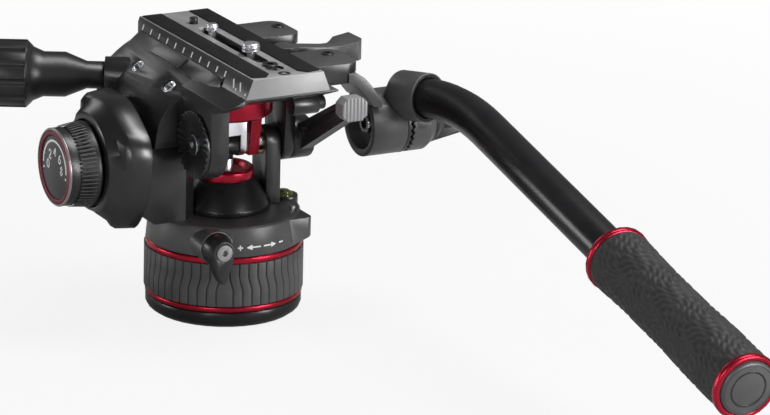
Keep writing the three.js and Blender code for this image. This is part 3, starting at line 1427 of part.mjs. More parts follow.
// Clamp knob: cone with a small wing, on the bolt through both rosettes
function makeBarKnob(group) {
  const z = tiltAxisHeight + rosetteRise;
  const from = clampOuter + runningGap;
  const to = from + barKnobLength;
  const boltFrom = drumInner + drumRecessDepth;
  const cone = turnedX([
    [0, boltFrom], [clampBoltRadius, boltFrom], [clampBoltRadius, from], [barKnobRadius, from],
    [barKnobRadius, from + barKnobRim], [barKnobTipRadius, to], [0, to],
  ], roundSides, rosetteY, z);
  const wing = slabY([
    [barKnobWingFrom, z], [barKnobWingFrom, z + barKnobWingBottom], [barKnobWingTo, z + barKnobWingTip],
    [barKnobWingTo, z + barKnobWingTop], [to, z + barKnobWingTop], [to, z],
  ], rosetteY - barKnobWingHalf, rosetteY + barKnobWingHalf);
  piece(group, 'bar_clamp_knob', joined(cone, wing), blackMetal);
}

makeBase(head);
makeDragRing(head);
const panGroup = new THREE.Group();
head.add(panGroup);
makePan(panGroup);
makePanLock(panGroup);
makeTiltKnob(panGroup);
makeSpringRod(panGroup);

const tiltGroup = new THREE.Group();
tiltGroup.position.z = tiltAxisHeight;
panGroup.add(tiltGroup);
makeTilt(tiltGroup);
makeCarriage(tiltGroup);
makeBalanceKnob(tiltGroup);
makeTiltLock(tiltGroup);
makePlate(tiltGroup);
makePlateHardware(tiltGroup);
makePlateLock(tiltGroup);
makeReleaseButton(tiltGroup);

const barGroup = new THREE.Group();
panGroup.add(barGroup);
makeBar(barGroup);
makeBarKnob(barGroup);

export default head;
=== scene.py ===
import json
import math
import bpy
from mathutils import Matrix, Vector
from mathutils.bvhtree import BVHTree


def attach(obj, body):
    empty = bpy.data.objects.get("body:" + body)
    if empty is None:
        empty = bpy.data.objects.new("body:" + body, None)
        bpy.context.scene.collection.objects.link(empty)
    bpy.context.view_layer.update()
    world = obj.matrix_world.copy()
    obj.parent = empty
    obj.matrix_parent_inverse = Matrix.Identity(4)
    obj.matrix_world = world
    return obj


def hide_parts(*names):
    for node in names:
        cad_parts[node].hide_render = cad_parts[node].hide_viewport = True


# Fluid video head: finishes, small fittings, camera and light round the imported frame
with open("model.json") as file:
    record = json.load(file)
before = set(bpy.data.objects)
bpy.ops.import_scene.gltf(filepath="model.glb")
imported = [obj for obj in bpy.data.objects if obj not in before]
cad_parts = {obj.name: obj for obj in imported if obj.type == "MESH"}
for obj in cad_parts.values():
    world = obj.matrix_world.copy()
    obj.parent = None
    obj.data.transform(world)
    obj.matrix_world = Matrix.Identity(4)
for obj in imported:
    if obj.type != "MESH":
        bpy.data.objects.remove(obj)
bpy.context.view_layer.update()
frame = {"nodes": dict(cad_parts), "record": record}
nodes = frame["nodes"]
scene = bpy.context.scene
mm = 0.001
print("frame loaded:", len(nodes), "nodes")

# Node material helpers


def startMaterial(name):
    material = bpy.data.materials.new(name)
    material.use_nodes = True
    tree = material.node_tree
    tree.nodes.clear()
    output = tree.nodes.new("ShaderNodeOutputMaterial")
    shader = tree.nodes.new("ShaderNodeBsdfPrincipled")
    tree.links.new(shader.outputs["BSDF"], output.inputs["Surface"])
    return material, tree, shader


def addNode(tree, kind, **values):
    node = tree.nodes.new(kind)
    for key, value in values.items():
        setattr(node, key, value)
    return node


# Link a socket to an input, or set the input to a plain value
def feed(tree, value, target):
    if isinstance(value, bpy.types.NodeSocket):
        tree.links.new(value, target)
    else:
        target.default_value = value


def joined(tree, operation, first, second):
    node = addNode(tree, "ShaderNodeMath", operation=operation)
    feed(tree, first, node.inputs[0])
    feed(tree, second, node.inputs[1])
    return node.outputs["Value"]


def placeCoords(tree, stretch=(1, 1, 1)):
    coords = addNode(tree, "ShaderNodeTexCoord")
    mapping = addNode(tree, "ShaderNodeMapping")
    mapping.inputs["Scale"].default_value = stretch
    tree.links.new(coords.outputs["Object"], mapping.inputs["Vector"])
    return mapping.outputs["Vector"]


def grain(tree, vector, scale, detail=3.0, roughness=0.55):
    noise = addNode(tree, "ShaderNodeTexNoise")
    noise.inputs["Scale"].default_value = scale
    noise.inputs["Detail"].default_value = detail
    noise.inputs["Roughness"].default_value = roughness
    tree.links.new(vector, noise.inputs["Vector"])
    return noise.outputs["Fac"]


def spread(tree, fac, low, high, fromLow=0.3, fromHigh=0.7):
    node = addNode(tree, "ShaderNodeMapRange")
    node.inputs["From Min"].default_value = fromLow
    node.inputs["From Max"].default_value = fromHigh
    node.inputs["To Min"].default_value = low
    node.inputs["To Max"].default_value = high
    tree.links.new(fac, node.inputs["Value"])
    return node.outputs["Result"]


# The Mix node has sockets of the same name for numbers and colours, so the colour ones go by their place
mixSockets = {"share": 0, "first": 6, "second": 7, "result": 2}


def mixColours(tree, fac, first, second):
    node = addNode(tree, "ShaderNodeMix", data_type="RGBA")
    for key, value in (("first", first), ("second", second)):
        colour = value if isinstance(value, bpy.types.NodeSocket) else (*value, 1)
        feed(tree, colour, node.inputs[mixSockets[key]])
    tree.links.new(fac, node.inputs[mixSockets["share"]])
    return node.outputs[mixSockets["result"]]


# Broad clouds and turning lines have little detail
broadDetail = 2.0


# Body colour from dark to light along a noise
def cloudColour(tree, fac, look):
    return mixColours(tree, spread(tree, fac, 0.0, 1.0), look["dark"], look["light"])


# Painted highlight on edges, where the rounded normal leaves the face's own: the whole share at full,
# nothing at none
edgeHighlightLook = {"samples": 4, "full": 0.86, "none": 0.995, "least": 0.15}


def roundedNormal(tree, radius):
    bevel = addNode(tree, "ShaderNodeBevel", samples=edgeHighlightLook["samples"])
    bevel.inputs["Radius"].default_value = radius
    return bevel.outputs["Normal"]


def paintedEdgeHighlight(tree, rounded):
    geometry = addNode(tree, "ShaderNodeNewGeometry")
    dot = addNode(tree, "ShaderNodeVectorMath", operation="DOT_PRODUCT")
    tree.links.new(rounded, dot.inputs[0])
    tree.links.new(geometry.outputs["Normal"], dot.inputs[1])
    return spread(tree, dot.outputs["Value"], 1.0, 0.0, edgeHighlightLook["full"], edgeHighlightLook["none"])


def bumped(tree, shader, height, strength, distance, normal=None):
    bump = addNode(tree, "ShaderNodeBump")
    bump.inputs["Strength"].default_value = strength
    bump.inputs["Distance"].default_value = distance
    tree.links.new(height, bump.inputs["Height"])
    if normal is not None:
        tree.links.new(normal, bump.inputs["Normal"])
    tree.links.new(bump.outputs["Normal"], shader.inputs["Normal"])


# One finish per function: colours are linear, lengths are metres


def coatedMetal(name, look):
    material, tree, shader = startMaterial(name)
    vector = placeCoords(tree)
    fine = grain(tree, vector, look["grainPerMetre"])
    broad = grain(tree, vector, look["cloudPerMetre"], broadDetail)
    rounded = roundedNormal(tree, look["edgeRadius"])
    # Edges take the lighter edge colour in patches along the grain: a painted highlight
    highlightPatches = spread(tree, fine, edgeHighlightLook["least"], look["edgeHighlightShare"])
    edgeHighlightMask = joined(tree, "MULTIPLY", paintedEdgeHighlight(tree, rounded), highlightPatches)
    colour = mixColours(tree, edgeHighlightMask, cloudColour(tree, broad, look), look["edgeHighlightColour"])
    tree.links.new(colour, shader.inputs["Base Color"])
    tree.links.new(spread(tree, fine, look["smooth"], look["rough"]), shader.inputs["Roughness"])
    shader.inputs["Metallic"].default_value = look["metallic"]
    shader.inputs["Specular IOR Level"].default_value = look["specular"]
    bumped(tree, shader, fine, look["grainStrength"], look["grainDepth"], rounded)
    return material


def turnedMetal(name, look):
    material, tree, shader = startMaterial(name)
    lines = grain(tree, placeCoords(tree, look["lineStretch"]), look["linesPerMetre"], broadDetail)
    broad = grain(tree, placeCoords(tree), look["cloudPerMetre"], broadDetail)
    rounded = roundedNormal(tree, look["edgeRadius"])
    # Edges take the lighter edge colour: a painted highlight
    edgeHighlightMask = joined(tree, "MULTIPLY", paintedEdgeHighlight(tree, rounded), look["edgeHighlightShare"])
    colour = mixColours(tree, edgeHighlightMask, cloudColour(tree, broad, look), look["edgeHighlightColour"])
    tree.links.new(colour, shader.inputs["Base Color"])
    tree.links.new(spread(tree, lines, look["smooth"], look["rough"]), shader.inputs["Roughness"])
    shader.inputs["Metallic"].default_value = look["metallic"]
    bumped(tree, shader, lines, look["lineStrength"], look["lineDepth"], rounded)
    return material


def rubberSkin(name, look):
    material, tree, shader = startMaterial(name)
    vector = placeCoords(tree)
    fine = grain(tree, vector, look["grainPerMetre"], detail=4.0)
    broad = grain(tree, vector, look["cloudPerMetre"], broadDetail)
    tree.links.new(cloudColour(tree, broad, look), shader.inputs["Base Color"])
    tree.links.new(spread(tree, fine, look["smooth"], look["rough"]), shader.inputs["Roughness"])
    shader.inputs["Specular IOR Level"].default_value = look["specular"]
    shader.inputs["Sheen Weight"].default_value = look["sheen"]
    bumped(tree, shader, fine, look["grainStrength"], look["grainDepth"])
    return material


def glossShell(name, look):
    material, tree, shader = startMaterial(name)
    vector = placeCoords(tree)
    swirl = grain(tree, vector, look["swirlPerMetre"], broadDetail)
    dust = grain(tree, vector, look["dustPerMetre"], detail=5.0, roughness=0.7)
    tree.links.new(cloudColour(tree, swirl, look), shader.inputs["Base Color"])
    tree.links.new(spread(tree, dust, look["smooth"], look["rough"]), shader.inputs["Roughness"])
    shader.inputs["Coat Weight"].default_value = look["coat"]
    shader.inputs["Coat Roughness"].default_value = look["coatRough"]
    rounded = roundedNormal(tree, look["edgeRadius"])
    bumped(tree, shader, swirl, look["waveStrength"], look["waveDepth"], rounded)
    return material


def vialLiquid(name, look):
    material, tree, shader = startMaterial(name)
    cloud = grain(tree, placeCoords(tree), look["cloudPerMetre"], broadDetail)
    tree.links.new(cloudColour(tree, cloud, look), shader.inputs["Base Color"])
    shader.inputs["Roughness"].default_value = look["rough"]
    shader.inputs["Coat Weight"].default_value = look["coat"]
    shader.inputs["Coat Roughness"].default_value = look["coatRough"]
    bumped(tree, shader, cloud, look["waveStrength"], look["waveDepth"])
    return material


def printInk(name, look):
    material, tree, shader = startMaterial(name)
    fine = grain(tree, placeCoords(tree), look["grainPerMetre"])
    tree.links.new(cloudColour(tree, fine, look), shader.inputs["Base Color"])
    tree.links.new(spread(tree, fine, look["smooth"], look["rough"]), shader.inputs["Roughness"])
    bumped(tree, shader, fine, look["grainStrength"], look["grainDepth"])
    return material


# The edge colour in each look is a painted highlight along that finish's edges
finishes = {
    "blackCoat": coatedMetal("blackCoat", {
        "dark": (0.009, 0.009, 0.01), "light": (0.016, 0.016, 0.017), "edgeHighlightColour": (0.13, 0.13, 0.135),
        "edgeRadius": 0.5 * mm, "edgeHighlightShare": 0.9, "cloudPerMetre": 60, "grainPerMetre": 3200,
        "grainStrength": 0.22, "grainDepth": 0.00008, "smooth": 0.26, "rough": 0.38, "metallic": 0.0,
        "specular": 0.5}),
    "greyCoat": coatedMetal("greyCoat", {
        "dark": (0.2, 0.2, 0.203), "light": (0.26, 0.26, 0.264), "edgeHighlightColour": (0.46, 0.46, 0.47),
        "edgeRadius": 0.45 * mm, "edgeHighlightShare": 0.8, "cloudPerMetre": 50, "grainPerMetre": 4200,
        "grainStrength": 0.3, "grainDepth": 0.0001, "smooth": 0.36, "rough": 0.52, "metallic": 0.15,
        "specular": 0.5}),
    "glossBlack": glossShell("glossBlack", {
        "dark": (0.004, 0.004, 0.005), "light": (0.007, 0.007, 0.008), "edgeRadius": 0.5 * mm,
        "swirlPerMetre": 40, "dustPerMetre": 2500, "smooth": 0.27, "rough": 0.36, "coat": 0.15,
        "coatRough": 0.25, "waveStrength": 0.02, "waveDepth": 0.0002}),
    "moulding": coatedMetal("moulding", {
        "dark": (0.006, 0.006, 0.007), "light": (0.011, 0.011, 0.012), "edgeHighlightColour": (0.04, 0.04, 0.042),
        "edgeRadius": 0.6 * mm, "edgeHighlightShare": 0.7, "cloudPerMetre": 70, "grainPerMetre": 2600,
        "grainStrength": 0.35, "grainDepth": 0.00014, "smooth": 0.3, "rough": 0.44, "metallic": 0.0,
        "specular": 0.45}),
    "redAnodised": turnedMetal("redAnodised", {
        "dark": (0.3, 0.009, 0.023), "light": (0.4, 0.014, 0.036), "edgeHighlightColour": (0.85, 0.28, 0.35),
        "edgeRadius": 0.35 * mm, "edgeHighlightShare": 0.7, "cloudPerMetre": 40, "linesPerMetre": 900,
        "lineStretch": (0.15, 0.15, 6.0), "lineStrength": 0.12, "lineDepth": 0.0001, "smooth": 0.22,
        "rough": 0.36, "metallic": 0.85}),
    "turnedSteel": turnedMetal("turnedSteel", {
        "dark": (0.42, 0.43, 0.45), "light": (0.58, 0.59, 0.61), "edgeHighlightColour": (0.85, 0.86, 0.88),
        "edgeRadius": 0.3 * mm, "edgeHighlightShare": 0.6, "cloudPerMetre": 80, "linesPerMetre": 1400,
        "lineStretch": (0.3, 0.3, 4.0), "lineStrength": 0.1, "lineDepth": 0.00006, "smooth": 0.2,
        "rough": 0.34, "metallic": 1.0}),
    "brightChrome": turnedMetal("brightChrome", {
        "dark": (0.62, 0.62, 0.64), "light": (0.8, 0.8, 0.82), "edgeHighlightColour": (0.95, 0.95, 0.96),
        "edgeRadius": 0.25 * mm, "edgeHighlightShare": 0.5, "cloudPerMetre": 60, "linesPerMetre": 1200,
        "lineStretch": (0.3, 0.3, 3.0), "lineStrength": 0.06, "lineDepth": 0.00005, "smooth": 0.26,
        "rough": 0.38, "metallic": 1.0}),
    "blackSteel": turnedMetal("blackSteel", {
        "dark": (0.016, 0.016, 0.017), "light": (0.028, 0.028, 0.03), "edgeHighlightColour": (0.12, 0.12, 0.125),
        "edgeRadius": 0.3 * mm, "edgeHighlightShare": 0.6, "cloudPerMetre": 80, "linesPerMetre": 1400,
        "lineStretch": (0.3, 0.3, 4.0), "lineStrength": 0.1, "lineDepth": 0.00006, "smooth": 0.28,
        "rough": 0.42, "metallic": 0.6}),
    "softRubber": rubberSkin("softRubber", {
        "dark": (0.012, 0.012, 0.0125), "light": (0.02, 0.02, 0.021), "cloudPerMetre": 90,
        "grainPerMetre": 3600, "grainStrength": 0.45, "grainDepth": 0.00016, "smooth": 0.46,
        "rough": 0.64, "specular": 0.28, "sheen": 0.03}),
    "darkGrey": coatedMetal("darkGrey", {
        "dark": (0.055, 0.055, 0.056), "light": (0.08, 0.08, 0.082), "edgeHighlightColour": (0.24, 0.24, 0.245),
        "edgeRadius": 0.45 * mm, "edgeHighlightShare": 0.8, "cloudPerMetre": 50, "grainPerMetre": 4200,
        "grainStrength": 0.3, "grainDepth": 0.0001, "smooth": 0.32, "rough": 0.46, "metallic": 0.3,
        "specular": 0.5}),
    "satinTube": coatedMetal("satinTube", {
        "dark": (0.006, 0.006, 0.007), "light": (0.01, 0.01, 0.011), "edgeHighlightColour": (0.08, 0.08, 0.082),
        "edgeRadius": 0.4 * mm, "edgeHighlightShare": 0.6, "cloudPerMetre": 60, "grainPerMetre": 5200,
        "grainStrength": 0.08, "grainDepth": 0.00003, "smooth": 0.24, "rough": 0.32, "metallic": 0.0,
        "specular": 0.32}),
    "deepRed": turnedMetal("deepRed", {
        "dark": (0.12, 0.006, 0.018), "light": (0.17, 0.01, 0.026), "edgeHighlightColour": (0.4, 0.12, 0.16),
        "edgeRadius": 0.35 * mm, "edgeHighlightShare": 0.6, "cloudPerMetre": 40, "linesPerMetre": 900,
        "lineStretch": (6.0, 0.15, 0.15), "lineStrength": 0.1, "lineDepth": 0.00008, "smooth": 0.26,
        "rough": 0.38, "metallic": 0.7}),
    "padRubber": rubberSkin("padRubber", {
        "dark": (0.005, 0.005, 0.0052), "light": (0.008, 0.008, 0.0082), "cloudPerMetre": 120,
        "grainPerMetre": 5200, "grainStrength": 0.5, "grainDepth": 0.00014, "smooth": 0.6,
        "rough": 0.8, "specular": 0.12, "sheen": 0.01}),
    "ringRubber": rubberSkin("ringRubber", {
        "dark": (0.034, 0.034, 0.035), "light": (0.05, 0.05, 0.051), "cloudPerMetre": 90,
        "grainPerMetre": 3600, "grainStrength": 0.35, "grainDepth": 0.00012, "smooth": 0.42,
        "rough": 0.6, "specular": 0.5, "sheen": 0.1}),
    "bronze": turnedMetal("bronze", {
        "dark": (0.36, 0.22, 0.09), "light": (0.5, 0.33, 0.15), "edgeHighlightColour": (0.75, 0.58, 0.34),
        "edgeRadius": 0.3 * mm, "edgeHighlightShare": 0.5, "cloudPerMetre": 80, "linesPerMetre": 1200,
        "lineStretch": (0.3, 0.3, 4.0), "lineStrength": 0.1, "lineDepth": 0.00006, "smooth": 0.28,
        "rough": 0.42, "metallic": 1.0}),
    "vialGreen": vialLiquid("vialGreen", {
        "dark": (0.045, 0.06, 0.012), "light": (0.07, 0.09, 0.02), "cloudPerMetre": 160, "rough": 0.08,
        "coat": 1.0, "coatRough": 0.03, "waveStrength": 0.05, "waveDepth": 0.0002}),
    # Light grey for the knob's rim: a painted highlight
    "rimHighlightGrey": coatedMetal("rimHighlightGrey", {
        "dark": (0.2, 0.17, 0.175), "light": (0.28, 0.24, 0.245), "edgeHighlightColour": (0.5, 0.48, 0.48),
        "edgeRadius": 0.3 * mm, "edgeHighlightShare": 0.8, "cloudPerMetre": 50, "grainPerMetre": 4200,
        "grainStrength": 0.2, "grainDepth": 0.00006, "smooth": 0.28, "rough": 0.42, "metallic": 0.6,
        "specular": 0.5}),
    "whitePrint": printInk("whitePrint", {
        "dark": (0.62, 0.62, 0.6), "light": (0.8, 0.8, 0.79), "grainPerMetre": 5200,
        "grainStrength": 0.1, "grainDepth": 0.00003, "smooth": 0.4, "rough": 0.6}),
}
slotFinish = {
    "black_coat": "blackCoat", "grey_coat": "greyCoat", "gloss_black": "glossBlack",
    "dark_moulding": "moulding", "red_anodised": "redAnodised", "steel": "turnedSteel",
    "chrome": "brightChrome", "black_steel": "blackSteel", "soft_rubber": "softRubber",
    "bronze": "bronze", "vial": "vialGreen",
}
print("finishes made:", len(finishes))


# Frame nodes: finish by material slot, round shading and small bevels
def dressNode(node, finish, look):
    node.data.materials.clear()
    node.data.materials.append(finishes[finish])
    weld = node.modifiers.new("weld", "WELD")
    weld.merge_threshold = look["weld"]
    flat = node.modifiers.new("flat", "DECIMATE")
    flat.decimate_type = "DISSOLVE"
    flat.angle_limit = math.radians(look["flatAngle"])
    bevel = node.modifiers.new("bevel", "BEVEL")
    bevel.width = look["bevel"]
    bevel.segments = look["segments"]
    bevel.limit_method = "ANGLE"
    bevel.angle_limit = math.radians(look["sharpAngle"])
    bevel.harden_normals = True
    bevel.use_clamp_overlap = True
    for polygon in node.data.polygons:
        polygon.use_smooth = True


nodeLook = {"weld": 0.000002, "flatAngle": 0.4, "bevel": 0.00035, "segments": 2, "sharpAngle": 28}
for part in frame["record"]["subparts"]:
    dressNode(nodes[part["node"]], slotFinish[part["material_slot"]], nodeLook)

# Some nodes have a finish of their own. The plate's left bevel takes the black finish as painted shade,
# and the platform's top takes the lighter grey as painted light
nodeFinish = {
    "pan_drag_ring": "ringRubber", "plate_pad_left": "padRubber", "plate_pad_right": "padRubber",
    "pan_housing": "darkGrey", "platform": "blackCoat", "plate_lock_lever": "darkGrey",
    "grip_end_cap": "darkGrey", "right_wing": "darkGrey", "bar_clamp": "darkGrey",
    "tilt_lock_grip": "greyCoat", "base_foot": "satinTube", "pan_bar_tube": "satinTube",
    "tilt_knob_ring": "deepRed", "spring_cone": "satinTube", "bar_socket_ring": "blackSteel",
    "pan_lock_screw": "greyCoat",
}
paintedLightByFacing = {
    "camera_plate": {"finish": "blackCoat", "axis": (-1, 0, 0), "limit": 0.4},
    "platform": {"finish": "darkGrey", "axis": (0, 0, 1), "limit": 0.9},
}
for name, finish in nodeFinish.items():
    nodes[name].data.materials[0] = finishes[finish]
for name, look in paintedLightByFacing.items():
    nodes[name].data.materials.append(finishes[look["finish"]])
    # Faces turned past the limit take the second finish: painted light and shade by the way each face
    # points
    for polygon in nodes[name].data.polygons:
        facing = polygon.normal.dot(Vector(look["axis"]))
        polygon.material_index = 1 if facing > look["limit"] else 0
print("frame nodes dressed")

# Small fittings: points are in millimetres, and each piece rides on the body that carries it
upward, downward = (0, 0, 1), (0, 0, -1)
# Rays that look for a top face start at this height
skyHeight = 300


def addPiece(name, points, faces, finish, body, slot=None, sharpAngle=30):
    mesh = bpy.data.meshes.new(name)
    mesh.from_pydata([tuple(Vector(point) * mm) for point in points], [], faces)
    mesh.validate()
    for polygon in mesh.polygons:
        polygon.use_smooth = True
    mesh.set_sharp_from_angle(angle=math.radians(sharpAngle))
    mesh.materials.append(finishes[finish])
    piece = bpy.data.objects.new(name, mesh)
    scene.collection.objects.link(piece)
    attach(piece, body)
    return piece


# Where a straight line from start meets a frame node, and the way that face looks
def surfaceAt(nodeName, start, toward):
    mesh = nodes[nodeName].data
    tree = BVHTree.FromPolygons([vertex.co for vertex in mesh.vertices],
                                [polygon.vertices for polygon in mesh.polygons])
    spot, normal = tree.ray_cast(Vector(start) * mm, Vector(toward).normalized())[:2]
    return spot / mm, normal


def topAt(nodeName, x, y):
    return surfaceAt(nodeName, (x, y, skyHeight), downward)


# Three crossed directions with the last along an axis, and the first near z unless the axis is steep
steepest = 0.9


def crossedAxes(axis):
    along = Vector(axis).normalized()
    across = Vector(upward) if abs(along.z) < steepest else Vector((1, 0, 0))
    first = (across - along * across.dot(along)).normalized()
    return first, along.cross(first), along


def ringPoints(spot, axis, rings, sides):
    first, second, along = crossedAxes(axis)
    points = []
    for radius, height in rings:
        centre = Vector(spot) + along * height
        for side in range(sides):
            turn = 2 * math.pi * side / sides
            reach = radius(turn) if callable(radius) else radius
            outward = first * math.cos(turn) + second * math.sin(turn)
            points.append(centre + outward * reach)
    return points


def ringFaces(count, sides, closed):
    faces = []
    for ring in range(count if closed else count - 1):
        low, high = ring * sides, (ring + 1) % count * sides
        for side in range(sides):
            after = (side + 1) % sides
            faces.append((low + side, low + after, high + after, high + side))
    if not closed:
        faces.append(tuple(reversed(range(sides))))
        faces.append(tuple(range((count - 1) * sides, count * sides)))
    return faces


# A turned piece: pairs of radius and height along the axis, closed as a ring or capped at both ends
def turnedPiece(name, spot, axis, profile, finish, body, slot, closed=False, sides=48):
    points = ringPoints(spot, axis, profile, sides)
    addPiece(name, points, ringFaces(len(profile), sides, closed), finish, body, slot)


# Reach of a hexagon's wall at a turn about its middle
def hexReach(radius):
    sixth = math.pi / 3
    return lambda turn: radius / math.cos((turn + sixth / 2) % sixth - sixth / 2)


def socketBolt(name, spot, axis, look, body):
    head, height, chamfer, key = look["head"], look["height"], look["chamfer"], hexReach(look["key"])
    profile = [(head, -look["sunk"]), (head, height - chamfer), (head - chamfer, height), (key, height),
               (key, height - look["keyDepth"])]
    turnedPiece(name, spot, axis, profile, look["finish"], body, look["slot"])


# Cut a stroke of across, up and width into short runs, so that it can follow a round face
def refined(stroke, step):
    points = []
    for before, after in zip(stroke, stroke[1:]):
        parts = max(1, math.ceil(math.dist(before[:2], after[:2]) / step))
        for part in range(parts):
            share = part / parts
            points.append(tuple(low + (high - low) * share for low, high in zip(before, after)))
    points.append(stroke[-1])
    return points


# Printed strokes: thin raised ribbons laid on a face by a place function
def printedPiece(name, strokes, place, look, body):
    points, faces = [], []
    lift = look["lift"]
    corners = ((1, lift), (-1, lift), (-1, -lift), (1, -lift))
    for stroke in strokes:
        line = refined(stroke, look["step"])
        start = len(points)
        for index, (across, up, width) in enumerate(line):
            before, after = line[max(index - 1, 0)], line[min(index + 1, len(line) - 1)]
            run = Vector((after[0] - before[0], after[1] - before[1])).normalized()
            sideX, sideY = -run.y * width / 2, run.x * width / 2
            for sign, height in corners:
                points.append(place(across + sign * sideX, up + sign * sideY, height))
        for index in range(len(line) - 1):
            low, high = start + index * 4, start + index * 4 + 4
            for side in range(4):
                after = (side + 1) % 4
                faces.append((low + side, low + after, high + after, high + side))
        end = len(points) - 4
        faces.append((start + 3, start + 2, start + 1, start))
        faces.append((end, end + 1, end + 2, end + 3))
    addPiece(name, points, faces, look["finish"], body)


# Scale on the plate's left bevel: across runs forward, up runs up the bevel
scaleLook = {
    "front": 58.5, "spacing": 10.3, "ticks": 11, "low": 5.6, "high": 8.8, "width": 1.25, "lift": 0.04,
    "step": 20, "finish": "whitePrint", "bevelFoot": (-25.5, 141.6), "bevelTop": (-21.3, 152.6),
}
endMarkLook = {
    "slants": ((-55, -58), (-63, -66)), "top": 7.1, "foot": 2.6, "dots": (-60.5, -72), "dotWidth": 1.3,
}


def onBevel(across, up, height):
    foot, top = Vector(scaleLook["bevelFoot"]), Vector(scaleLook["bevelTop"])
    slope = (top - foot).normalized()
    spot = foot + slope * up + Vector((-slope.y, slope.x)) * height
    return spot.x, across, spot.y


def makePlateScale(look, ends):
    strokes = []
    width = look["width"]
    for tick in range(look["ticks"]):
        spot = look["front"] - look["spacing"] * tick
        strokes.append([(spot, look["low"], width), (spot, look["high"], width)])
    for top, foot in ends["slants"]:
        strokes.append([(top, ends["top"], width), (foot, ends["foot"], width)])
    size, foot = ends["dotWidth"], ends["foot"]
    for dot in ends["dots"]:
        strokes.append([(dot - size / 2, foot, size), (dot + size / 2, foot, size)])
    printedPiece("plateScale", strokes, onBevel, look, "plate")


makePlateScale(scaleLook, endMarkLook)

# Dial face: arc, end dots and plain numbers, seen from the left
dialLook = {
    "face": -103.6, "axisHeight": 93, "arcRadius": 14.6, "arcWidth": 1.25, "arcSteps": 40, "from": -2,
    "to": 182, "dotRadius": 14.4, "dotAngles": (-13, 193), "dotHalfTurn": 2.5, "dotSize": 1.5,
    "dotSteps": 2, "numberRadius": 8.6, "numberHeight": 4.8, "numberWidth": 2.9, "firstNumber": 180,
    "numberTurn": -45, "stroke": 0.95, "lift": 0.05, "step": 2.0, "finish": "whitePrint",
}
digitStrokes = {
    "0": [[(0.5, 0), (0.1, 0.2), (0, 0.5), (0.1, 0.8), (0.5, 1), (0.9, 0.8), (1, 0.5), (0.9, 0.2),
           (0.5, 0)]],
    "2": [[(0, 0.75), (0.2, 0.95), (0.5, 1), (0.85, 0.9), (0.95, 0.65), (0, 0), (1, 0)]],
    "4": [[(0.75, 0), (0.75, 1), (0, 0.3), (1, 0.3)]],
    "6": [[(0.8, 1), (0.2, 0.6), (0, 0.3), (0.2, 0.05), (0.5, 0), (0.85, 0.08), (1, 0.3), (0.8, 0.52),
           (0.4, 0.55), (0.05, 0.4)]],
    "8": [[(0.5, 0.54), (0.12, 0.75), (0.5, 1), (0.88, 0.75), (0.5, 0.54), (0, 0.27), (0.5, 0), (1, 0.27),
           (0.5, 0.54)]],
}


def onDial(across, up, height):
    return dialLook["face"] - height, -across, dialLook["axisHeight"] + up


def arcStroke(radius, fromAngle, toAngle, width, steps):
    line = []
    for step in range(steps + 1):
        turn = math.radians(fromAngle + (toAngle - fromAngle) * step / steps)
        line.append((radius * math.cos(turn), radius * math.sin(turn), width))
    return line


# A digit's strokes go from 0 to 1 across and up its own box
def numberStrokes(digit, centre, look):
    strokes = []
    for stroke in digitStrokes[digit]:
        line = []
        for across, up in stroke:
            spotX = centre[0] + (across - 0.5) * look["numberWidth"]
            spotY = centre[1] + (up - 0.5) * look["numberHeight"]
            line.append((spotX, spotY, look["stroke"]))
        strokes.append(line)
    return strokes


def makeDialPrint(look):
    strokes = [arcStroke(look["arcRadius"], look["from"], look["to"], look["arcWidth"], look["arcSteps"])]
    half = look["dotHalfTurn"]
    for angle in look["dotAngles"]:
        dot = arcStroke(look["dotRadius"], angle - half, angle + half, look["dotSize"], look["dotSteps"])
        strokes.append(dot)
    for index, digit in enumerate(sorted(digitStrokes)):
        turn = math.radians(look["firstNumber"] + look["numberTurn"] * index)
        centre = (look["numberRadius"] * math.cos(turn), look["numberRadius"] * math.sin(turn))
        strokes += numberStrokes(digit, centre, look)
    printedPiece("dialPrint", strokes, onDial, look, "tilt_knob")


makeDialPrint(dialLook)

# Signs on the collar: plus, two arrows and minus, on the housing's tapered wall
collarLook = {
    "foot": 41.6, "footRadius": 43.7, "taper": 1.5 / 15.4, "height": 46.75, "width": 0.8, "arm": 1.5,
    "plus": -104.4, "minus": -69.9, "minusHeight": 46.9, "arrows": ((-88.5, -99.4), (-85.9, -75.2)),
    "headRun": 3.2, "headWidth": 3.0, "tipWidth": 0.2, "lift": 0.05, "step": 1.2, "finish": "whitePrint",
}


def onCollar(across, up, height):
    radius = collarLook["footRadius"] - (up - collarLook["foot"]) * collarLook["taper"] + height
    turn = across / collarLook["footRadius"]
    return radius * math.cos(turn), radius * math.sin(turn), up


def makeCollarSigns(look):
    def place(angle):
        return math.radians(angle) * look["footRadius"]

    plus, minus = place(look["plus"]), place(look["minus"])
    arm, width, up, minusUp = look["arm"], look["width"], look["height"], look["minusHeight"]
    strokes = [
        [(plus - arm, up, width), (plus + arm, up, width)],
        [(plus, up - arm, width), (plus, up + arm, width)],
        [(minus - arm, minusUp, width), (minus + arm, minusUp, width)],
    ]
    for tail, tip in look["arrows"]:
        start, end = place(tail), place(tip)
        sign = 1 if end > start else -1
        neck = end - sign * look["headRun"]
        strokes.append([(start, up, width), (neck, up, width)])
        strokes.append([(neck, up, look["headWidth"]), (end, up, look["tipWidth"])])
    printedPiece("collarSigns", strokes, onCollar, look, "pan")


makeCollarSigns(collarLook)

# Bolts in the tops of the platform's lobes
lobeBoltLook = {
    "places": ((47.3, 30.9), (46.7, -30.5)), "head": 3.5, "height": 0.8, "chamfer": 0.3, "sunk": 0.4,
    "key": 1.6, "keyDepth": 1.0, "finish": "blackSteel", "slot": "black_steel",
}
for number, place in enumerate(lobeBoltLook["places"]):
    spot, facing = topAt("platform", *place)
    socketBolt("lobeBolt" + str(number + 1), spot, facing, lobeBoltLook, "tilt")

